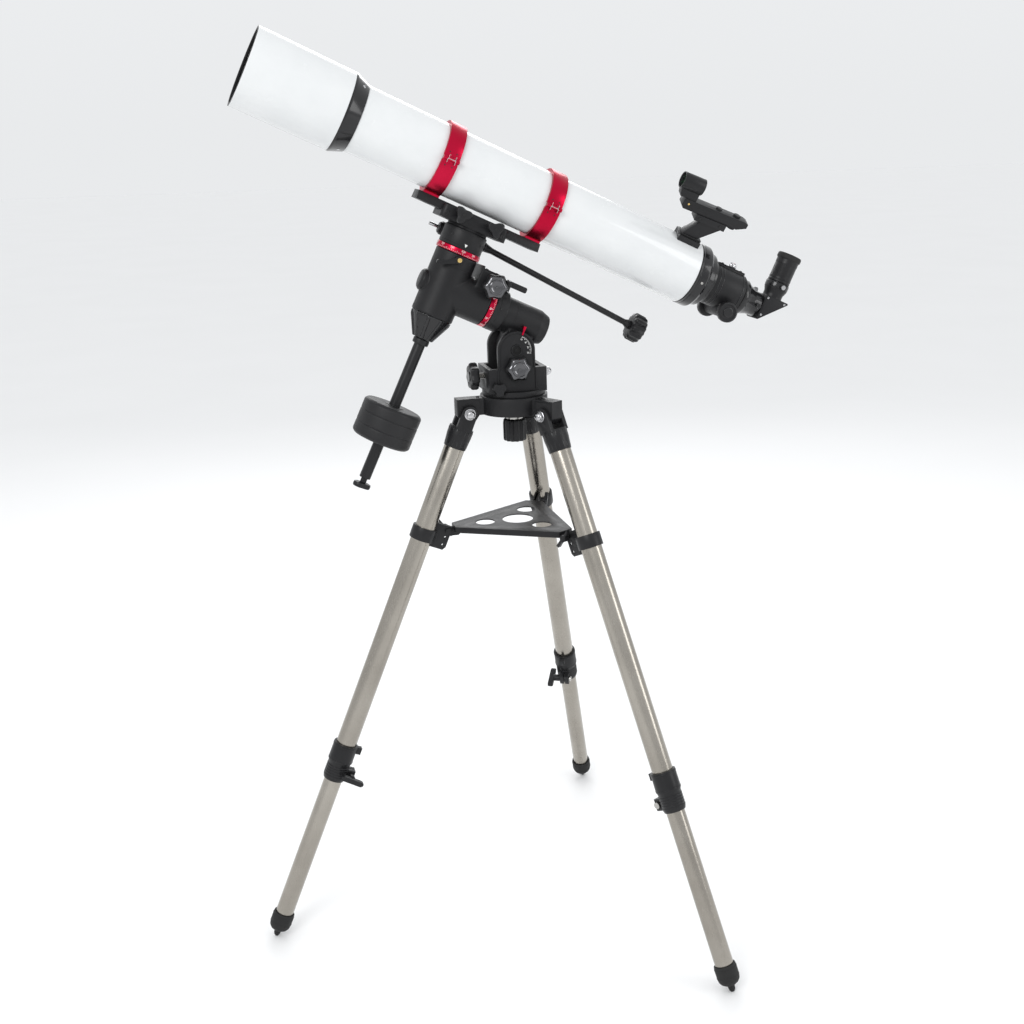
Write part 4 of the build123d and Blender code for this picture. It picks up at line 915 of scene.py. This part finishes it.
# ---- counterweight -----------------------------------------------------------
def counterweight_group():
    shaft = [(0, -334), (9.3, -334), (9.3, -66), (0, -66)]
    stand_in("weight_bar", lathe(shaft, 0.8, steps=64), POLAR, PLASTIC, "counterweight_shaft")
    nut = lathe(
        [(9.3, -98), (12.6, -98), (13.4, -96.5), (13.4, -90), (12.4, -88.4), (9.3, -88.4)], 0.6, True, 64,
    )
    place("weight_bar_nut", nut, POLAR, PLASTIC, "counterweight_shaft")
    neck = bar(5.2, -342.4, -333, 0.5, 48)
    place("stop_neck", neck, POLAR, PLASTIC, "counterweight_shaft")
    outline = lambda a: 9.6 + 5.4 * abs(cos(a)) ** 1.4
    layers = [(3.4, -351.2), (0.8, -350.6), (0, -348.8), (0, -345.2), (0.8, -343.2), (3.4, -342.3)]
    place("stop_wing", loft(outline, layers, 96), POLAR @ turned(12), PLASTIC, "counterweight_shaft")
    top, low = WEIGHT_TOP, WEIGHT_LOW
    third = (top - low) / 3
    profile = [(9.35, low), (44.5, low), (WEIGHT_R, low + 4.4)]
    for groove in (low + third, low + 2 * third):
        profile += [(WEIGHT_R, groove - 0.9), (WEIGHT_R - 1.1, groove), (WEIGHT_R, groove + 0.9)]
    profile += [(WEIGHT_R, top - 4.4), (44.5, top), (9.35, top)]
    stand_in("weight_body", lathe(profile, 2.2, True, 160), POLAR, WEIGHT, "counterweight")
    sleeve = lathe(
        [(9.35, top - 0.2), (15.8, top - 0.2), (15.8, top + 0.5), (15, top + 0.9), (9.35, top + 0.9)], 0.3,
        True, 64,
    )
    place("weight_bushing", sleeve, POLAR, PLASTIC, "counterweight")
    middle = (top + low) / 2
    where = POLAR @ aimed((0, 0, middle), (0, 1, 0))
    shank = bar(4, 9.8, 52)
    stand_in("weight_screw_shank", shank, where, STEEL, "counterweight_screw")
    outline = knurled(11.2, 5, 1.7, 0.8)
    layers = [(3, 50.4), (0.8, 51), (0, 53), (0, 60.5), (1.2, 62.6), (4, 63.4)]
    place("weight_screw_knob", loft(outline, layers, 120), where, PLASTIC, "counterweight_screw")


# ---- azimuth base ------------------------------------------------------------
def base_group():
    bevelled("azimuth_base", 1.3)
    pivot = at(PIVOT[0], 0, PIVOT[1])
    for side in (-1, 1):
        # a raised border follows the round top of the cheek
        bm = bmesh.new()
        rows = []
        path = [(33.0, -64), (33.0, -31), (30.4, -29)]
        for step in range(33):
            angle = radians(-8 + 196 * step / 32)
            path.append((30.4 * cos(angle), 30.4 * sin(angle)))
        path += [(-30.4, -29), (-33.0, -31), (-33.0, -64)]
        for k, (x, z) in enumerate(path):
            px, pz = path[max(k - 1, 0)]
            nx, nz = path[min(k + 1, len(path) - 1)]
            tangent = Vector((nx - px, 0, nz - pz)).normalized()
            normal = Vector((-tangent.z, 0, tangent.x))
            row = []
            for inward, out in ((0.0, 0.0), (0.0, 1.1), (0.5, 1.5), (2.3, 1.5), (2.8, 1.1), (2.8, 0.0)):
                spot = Vector((x, side * (CHEEK_Y + out), z)) + normal * inward
                row.append(bm.verts.new(spot))
            rows.append(row)
        border = swept("border", bm, rows)
        place(f"cheek_border_{side + 1}", border, BASE @ pivot, CASTING, "azimuth_base")
        # the latitude scale: ticks and numbers on an arc band at the cheek's upper rear
        face = BASE @ pivot @ at(0, side * CHEEK_Y, 0) @ aimed_up((0, 0, 0), (0, side, 0))
        band = arc_band(17.5, 26.5, -16, 66, 0.35, side)
        place(f"scale_band_{side + 1}", band, face, CASTING, "azimuth_base")
        marks = arc_marks(24.9, 18, -14, 64, side)
        place(f"scale_marks_{side + 1}", marks, face @ at(0, 0, 0.35), PRINT, "azimuth_base")
    nut = lathe([(0, 0), (8.4, 0), (8.4, 1.6), (5.4, 1.9), (5.4, 4.6), (0, 5.0)], 0.4, steps=48)
    place(
        "pivot_nut", nut, BASE @ pivot @ at(0, CHEEK_Y, 0) @ aimed((0, 0, 0), (0, 1, 0)), CHROME, None,
        "azimuth_base",
    )
    ring = lathe([(7.4, -0.4), (9.0, -0.4), (9.0, 1.3), (8.2, 1.8), (7.4, 1.3)], 0.3, True, 64)
    face = BASE @ pivot @ at(0, -CHEEK_Y, 0) @ aimed((0, 0, 0), (0, -1, 0))
    place("pivot_ring", ring, face, CASTING, "azimuth_base")
    bore = lathe(
        [(7.4, 1.3), (7.4, 0.1), (3.4, 0.1), (3.4, 0.9), (0, 0.9), (0, 0), (7.6, 0), (7.6, 1.3)], 0.1, True,
        64,
    )
    place("pivot_bore", bore, face, MATT, "azimuth_base")
    rim = lathe([(51.8, 935), (52.3, 935.3), (52.3, 941.2), (51.8, 941.6)], 0.2, True, 160)
    place("base_rim", rim, BASE, CASTING, "azimuth_base")
    pointer = slab([(-1.4, 0), (1.4, 0), (1.4, 9), (0.4, 14), (-0.4, 14), (-1.4, 9)], 0, 1.2, 0.3)
    where = BASE @ pivot @ at(0, -39.6, 0) @ aimed_up((0, 0, 0), (0, -1, 0)) @ turned(-22) @ at(0, 26.5, 0)
    place("latitude_pointer", pointer, where, RED, "ra_housing")
    arm = block((-2.2, 2.2), (9, 14.5), (-9.5, 1.0), 0.4)
    place("latitude_pointer_arm", arm, where, RED, "ra_housing")


def side_angle(angle, side):
    """Angle on a cheek's face drawn so that both cheeks match."""
    return radians(angle if side < 0 else 180 - angle)


def arc_band(inner, outer, start, end, height, side, steps=40):
    bm = bmesh.new()
    rows = []
    for step in range(steps + 1):
        a = side_angle(start + (end - start) * step / steps, side)
        corners = ((inner, 0), (outer, 0), (outer, height), (inner, height))
        rows.append([bm.verts.new((r * cos(a), r * sin(a), z)) for r, z in corners])
    return swept("band", bm, rows)


def arc_marks(outer, count, start, end, side):
    bm = bmesh.new()
    for k in range(count + 1):
        a = side_angle(start + (end - start) * k / count, side)
        long = 3.4 if k % 3 == 0 else 1.9
        out = Vector((cos(a), sin(a), 0))
        half = Vector((-sin(a), cos(a), 0)) * MARK_HALF
        corners = [
            out * (outer - long) - half, out * outer - half, out * outer + half, out * (outer - long) + half,
        ]
        low = [bm.verts.new(c - Vector((0, 0, 0.05))) for c in corners]
        high = [bm.verts.new(c + Vector((0, 0, 0.08))) for c in corners]
        bm.faces.new(high)
        bm.faces.new(reversed(low))
        skin(bm, [low, high])
    labels = []
    for k in range(0, count + 1, 6):
        a = degrees(side_angle(start + (end - start) * k / count, side))
        text = lettering(str(80 - k * 20 // 6), 2.5, 0.12)
        labels.append((text, turned(a) @ at(outer - 5.6, 0, 0.03) @ turned(-90)))
    return merged(to_mesh("marks", bm), *labels)


def base_knobs():
    lock_z = PIVOT[1] - LATITUDE_LOCK_DROP
    where = BASE @ aimed_up((PIVOT[0], -38.4, lock_z), (0, -1, 0))
    star_knob("latitude_lock_knob", where, "latitude_lock")
    bolt = bar(4, -84.4, 4, 0.4)
    place("latitude_lock_bolt", bolt, where, STEEL, "latitude_lock")
    nut = loft(hexagon(8.2), [(0.7, -83), (0, -82.4), (0, -77.8), (0.4, -77)], 144)
    washer = pipe(4, 10.4, -78.0, -76.9)
    place("latitude_lock_nut", merged(nut, washer), where, CHROME, "latitude_lock")
    screw_z = PIVOT[1] - ALTITUDE_SCREW_DROP
    front = BASE @ aimed((0, 0, screw_z), (-1, 0, 0))
    stand_in("altitude_front_shank", threaded(5.0, 13.5, 60.5, 1.25), front, STEEL, "altitude_screw_front")
    outline = knurled(23, 7, 3.2, 0.8)
    layers = [
        (13, 60.0), (11, 60.2), (4, 60.5), (1.2, 61.8), (0, 64.6), (0, 71), (1.2, 73.6), (4.2, 75),
        (8, 75.2), (12, 74.2),
    ]
    place("altitude_front_knob", loft(outline, layers, 210), front, PLASTIC, "altitude_screw_front")
    hub = lathe([(0, 73.6), (9, 73.8), (9, 75.6), (7.4, 76.2), (0, 76.2)], 0.4, steps=48)
    place("altitude_front_cap", hub, front, GLOSS, "altitude_screw_front")
    rear = BASE @ aimed((0, 0, screw_z), (1, 0, 0))
    stand_in("altitude_rear_shank", threaded(5.0, 8.1, 54, 1.25), rear, CHROME, "altitude_screw_rear")
    collar = loft(hexagon(8.3), [(0.6, 53), (0, 53.5), (0, 57.6), (0.5, 58.2)], 144)
    dome = lathe([(0, 57.8), (7.2, 57.8), (6.9, 61), (5, 64.2), (2.4, 65.7), (0, 66)], 0.5, steps=64)
    place("altitude_rear_cap", merged(collar, dome), rear, CHROME, "altitude_screw_rear")


def helical(low, high, start, end, pitch, steps=36, per_turn=8):
    """Worm thread about z: a ridge that climbs one pitch a turn, faded out at both ends."""
    bm = bmesh.new()
    count = round((end - start) / pitch * per_turn)
    rows = []
    for row in range(count + 1):
        z = start + (end - start) * row / count
        fade = min(1.0, (z - start) / pitch, (end - z) / pitch)
        ring = []
        for k in range(steps):
            phase = (z / pitch - k / steps) % 1.0
            ridge = min(1.0, max(0.0, 1.6 - 4.4 * abs(phase - 0.5)))
            r = low + (high - low) * ridge * fade
            a = 2 * pi * k / steps
            ring.append(bm.verts.new((r * cos(a), r * sin(a), z)))
        rows.append(ring)
    skin(bm, rows)
    bm.faces.new(reversed(rows[0]))
    bm.faces.new(rows[-1])
    return to_mesh("helix", bm)


def threaded(radius, start, end, pitch):
    """Screw shank whose ridges stay within its radius."""
    profile = [(0, start), (1.9, start + 0.45), (3.3, start + 1.45), (radius - 0.8, start + 3.1)]
    z = start + 4.6
    while z < end - pitch:
        profile += [(radius - 0.02, z), (radius - 0.7, z + pitch / 2)]
        z += pitch
    profile += [(radius - 0.1, end), (0, end)]
    return lathe(profile, 0.15, steps=40)


# ---- tripod ------------------------------------------------------------------
def tripod_group():
    bevelled("tripod_head", 1.2)
    for number, azimuth in enumerate(LEG_AZIMUTHS, start=1):
        turn = BASE @ turned(azimuth)
        for side in (-1, 1):
            place(f"ear_border_{number}_{side + 1}", ear_border(side), turn, CASTING, "tripod_head")
            where = turn @ aimed((HINGE_X, side * 20.3, HINGE_Z), (0, side, 0))
            washer = pipe(5, 9.4, 0, 1.2, 0.3, 48)
            nut = loft(hexagon(8.4), [(0.4, 1.2), (0, 1.6), (0, 4.4), (0.6, 5)], 144)
            dome = lathe([(0, 4.6), (7.0, 4.6), (6.6, 6.6), (4.6, 8.6), (2.2, 9.3), (0, 9.4)], 0.5, steps=48)
            place(f"hinge_nut_{number}_{side + 1}", merged(washer, nut, dome), where, CHROME, "hinge_bolts")
        place(f"head_screw_{number}", screw_head(3.2, 1.6), turn @ at(62, 0, 931), BLACKED, None, "tripod")
    shank = []
    for azimuth in LEG_AZIMUTHS:
        turn = turned(azimuth)
        rod = bar(5, -22, 22)
        shank.append((rod, turn @ aimed((HINGE_X, 0, HINGE_Z), (0, 1, 0))))
    stand_in("hinge_shanks", merged(*shank), BASE, STEEL, "hinge_bolts")
    outline = knurled(20, 12, 2.2, 0.8)
    layers = [
        (6, 853.2), (2, 853.6), (0.4, 855.4), (0, 858), (0, 884), (1, 888.4), (3.6, 890.4), (6.2, 890.8),
    ]
    stand_in("head_knob", loft(outline, layers, 216), BASE, PLASTIC, "head_bolt")
    bolt = lathe([(0, 880), (6, 880), (6, 945.4), (5.4, 946), (0, 946)], 0.3, steps=40)
    collar = lathe([(5.8, 890), (13.6, 890), (14, 891), (14, 901.4), (13.4, 902), (5.8, 902)], 0.4, True, 64)
    place("head_bolt_shank", merged(bolt, collar), BASE, STEEL, "head_bolt")
    bevelled("accessory_tray", 0.35)


def ear_border(side):
    """Raised rim on the side face of a leg bracket, following its outline."""
    outer = [(60, 929.4), (97.6, 929.4), (97.6, 904), (89.4, 893.6), (71, 893.6), (64, 903), (60, 903.4)]
    inner = [
        (62.2, 927.2), (95.4, 927.2), (95.4, 905), (88.4, 895.8), (72, 895.8), (65.4, 905), (62.2, 905.4),
    ]
    bm = bmesh.new()
    rows = []
    for (ox, oz), (ix, iz) in zip(outer, inner):
        mx, mz = (ox + ix) / 2, (oz + iz) / 2
        spots = [(ox, 11.9, oz), (ox, 12.15, oz), (mx, 12.32, mz), (ix, 12.15, iz), (ix, 11.9, iz)]
        rows.append([bm.verts.new((x, side * y, z)) for x, y, z in spots])
    for k in range(len(rows)):
        low, high = rows[k - 1], rows[k]
        for i in range(4):
            bm.faces.new((low[i], low[i + 1], high[i + 1], high[i]))
    return to_mesh("rim", bm)


def leg_group(number):
    leg = leg_frame(number)
    fittings, tube_node, low_node, knob_node = (
        f"leg_fittings_{number}", f"leg_tube_{number}", f"lower_leg_{number}", f"leg_knob_{number}",
    )
    upper = pipe(16.3, 17.5, -636, -34, 0.3, 96)
    stand_in(f"leg_{number}_tube", upper, leg, STAINLESS, tube_node)
    bevelled(fittings, 0.7, f"leg_{number}_fittings")
    lower = pipe(14.3, 15.5, -955, -420, 0.3, 96)
    stand_in(f"leg_{number}_lower_tube", lower, leg, STAINLESS, low_node)
    foot = [
        (0, -984.4), (2.6, -983.6), (4.6, -981.6), (5.6, -978), (5.9, -973.8), (8.4, -972.4), (14.6, -968.4),
        (17.6, -964), (18.6, -958), (18.8, -946), (18.2, -938.4), (17.4, -937), (15.55, -937), (15.55, -950),
        (0, -950),
    ]
    place(f"leg_{number}_foot", lathe(foot, 0.9, steps=96), leg, RUBBER, low_node)
    for k in range(2):
        z = -943 - k * 14
        ridge = hoop(18.5, 19.0, z, 0.9, 0.5, 0.2, 96)
        place(f"leg_{number}_foot_ridge_{k}", ridge, leg, RUBBER, low_node)
    for k in range(5):
        z = -649 - k * 4.6
        ridge = hoop(19.4, 19.95, z, 1.3, 0.9, 0.3, 96)
        place(f"leg_{number}_rib_{k}", ridge, leg, PLASTIC, fittings)
    for k, z in enumerate((-611.5, -637.5)):
        ridge = hoop(20.9, 21.55, z, 1.4, 1.0, 0.3, 96)
        place(f"leg_{number}_lip_{k}", ridge, leg, PLASTIC, fittings)
    caps = []
    for k in range(18):
        angle = 2 * pi * k / 18
        fin = block((20.3, 21.1), (-0.9, 0.9), (-58, -30), 0.25)
        caps.append((fin, Matrix.Rotation(angle, 4, "Z")))
    facets = merged(*caps)
    for vert in facets.vertices:
        taper = max(0.0, (-vert.co.z - 36) / 24)
        reach = hypot(vert.co.x, vert.co.y)
        factor = (reach - 2.0 * taper) / reach
        vert.co.x *= factor
        vert.co.y *= factor
    place(f"leg_{number}_cap_flutes", facets, leg, GLOSS, fittings)
    screw = lathe([(0, -13), (5.4, -13), (5.4, -9.6), (3, -9.4), (3, 24), (0, 24)], 0.3, steps=40)
    stand_in(f"leg_{number}_knob_screw", screw, leg @ aimed(LEG_KNOB, (0, 1, 0)), STEEL, knob_node)
    boss = lathe([(0, 9.5), (6.2, 9.5), (6.6, 10.4), (6.6, 21.6), (5.6, 23.4), (0, 23.6)], 0.5, steps=64)
    place(f"leg_{number}_knob_boss", boss, leg @ aimed(LEG_KNOB, (0, 1, 0)), PLASTIC, knob_node)
    outline = []
    for k in range(48):
        a = 2 * pi * k / 48
        x = 21.0 * copysign(abs(cos(a)) ** 0.75, cos(a))
        y = (4.2 + 2.6 * abs(cos(a)) ** 2.5) * copysign(abs(sin(a)) ** 0.7, sin(a))
        outline.append((x, y))
    wing = slab(outline, 21.4, 31.0, 1.4)
    where = leg @ aimed_up(LEG_KNOB, (0, 1, 0)) @ turned(-8)
    place(f"leg_{number}_knob_wing", wing, where, PLASTIC, knob_node)


optical_tube()
rear_end()
focuser()
focus_knobs()
drawtube_end()
star_diagonal()
eyepiece_pieces()
finder()
for ring_name, ring_centre in RINGS_X.items():
    ring_pair(ring_name, ring_centre)
saddle_group()
dec_group()
dec_lever()
polar_group()
counterweight_group()
base_group()
base_knobs()
tripod_group()
for leg_number in (1, 2, 3):
    leg_group(leg_number)


# ---- floor, light and camera -------------------------------------------------
EYE = (-550.9 + AXIS_X, -2127.2, 1364.8)
EYE_TURN = (radians(16.42), radians(15.93), -0.0231)
LENS_LENGTH = 47.17
LENS_SHIFT = (-0.047, -0.0071)
FLOOR_HALF = 30
SKY_RISE = 0.55
SKY_LOW = 0.84
SKY_HIGH = 0.96
SKY_COLOUR = (0.97, 0.985, 1.0, 1)


def stage_floor():
    mesh = bpy.data.meshes.new("floor")
    corners = [(x * FLOOR_HALF, y * FLOOR_HALF, 0) for x, y in ((-1, -1), (1, -1), (1, 1), (-1, 1))]
    mesh.from_pydata(corners, [], [(0, 1, 2, 3)])
    floor = bpy.data.objects.new("floor", mesh)
    n = Nodes("floor_paint")
    n.set(Base_Color=n.blend(n.noise(1.5), (0.86, 0.86, 0.86), (0.89, 0.89, 0.89)), Roughness=0.85)
    mesh.materials.append(n.material)
    bpy.context.collection.objects.link(floor)


def area_light(name, spot, target, size, power):
    light = bpy.data.lights.new(name, "AREA")
    light.shape = "RECTANGLE"
    light.size, light.size_y = size
    light.energy = power
    lamp = bpy.data.objects.new(name, light)
    bpy.context.collection.objects.link(lamp)
    aim = (Vector(target) - Vector(spot)).to_track_quat("-Z", "Y")
    lamp.matrix_world = Matrix.Translation(spot) @ aim.to_matrix().to_4x4()


def studio():
    bpy.context.scene.view_settings.view_transform = "Standard"
    world = bpy.data.worlds.new("studio")
    bpy.context.scene.world = world
    world.use_nodes = True
    tree = world.node_tree
    direction = tree.nodes.new("ShaderNodeTexCoord").outputs["Generated"]
    split = tree.nodes.new("ShaderNodeSeparateXYZ")
    tree.links.new(direction, split.inputs["Vector"])
    rise = tree.nodes.new("ShaderNodeMapRange")
    tree.links.new(split.outputs["Z"], rise.inputs["Value"])
    for key, value in (("From Min", 0.0), ("From Max", SKY_RISE), ("To Min", SKY_LOW), ("To Max", SKY_HIGH)):
        rise.inputs[key].default_value = value
    background = tree.nodes["Background"]
    background.inputs["Color"].default_value = SKY_COLOUR
    tree.links.new(rise.outputs["Result"], background.inputs["Strength"])
    area_light("key", (-2.2, -2.6, 3.0), (0, 0, 0.9), (1.8, 1.4), 55)
    area_light("fill", (2.8, -2.2, 1.6), (0, 0, 0.8), (1.0, 2.2), 22)
    area_light("rim", (0.6, 2.8, 2.6), (0, 0, 1.0), (2.4, 1.2), 36)


def camera():
    yaw, pitch, roll = EYE_TURN
    flat = Vector((sin(yaw), cos(yaw), 0))
    right = Vector((cos(yaw), -sin(yaw), 0))
    up = Vector((0, 0, 1))
    view = flat * cos(pitch) - up * sin(pitch)
    over = flat * sin(pitch) + up * cos(pitch)
    side = right * cos(roll) + over * sin(roll)
    top = over * cos(roll) - right * sin(roll)
    lens = bpy.data.cameras.new("camera")
    lens.lens = LENS_LENGTH
    lens.sensor_width = 36
    lens.shift_x, lens.shift_y = LENS_SHIFT
    lens.clip_start = 0.05
    eye = bpy.data.objects.new("camera", lens)
    bpy.context.collection.objects.link(eye)
    turn = Matrix((side, top, -view)).transposed().to_4x4()
    eye.matrix_world = Matrix.Translation(Vector(EYE) * MM) @ turn
    bpy.context.scene.camera = eye


stage_floor()
studio()
camera()
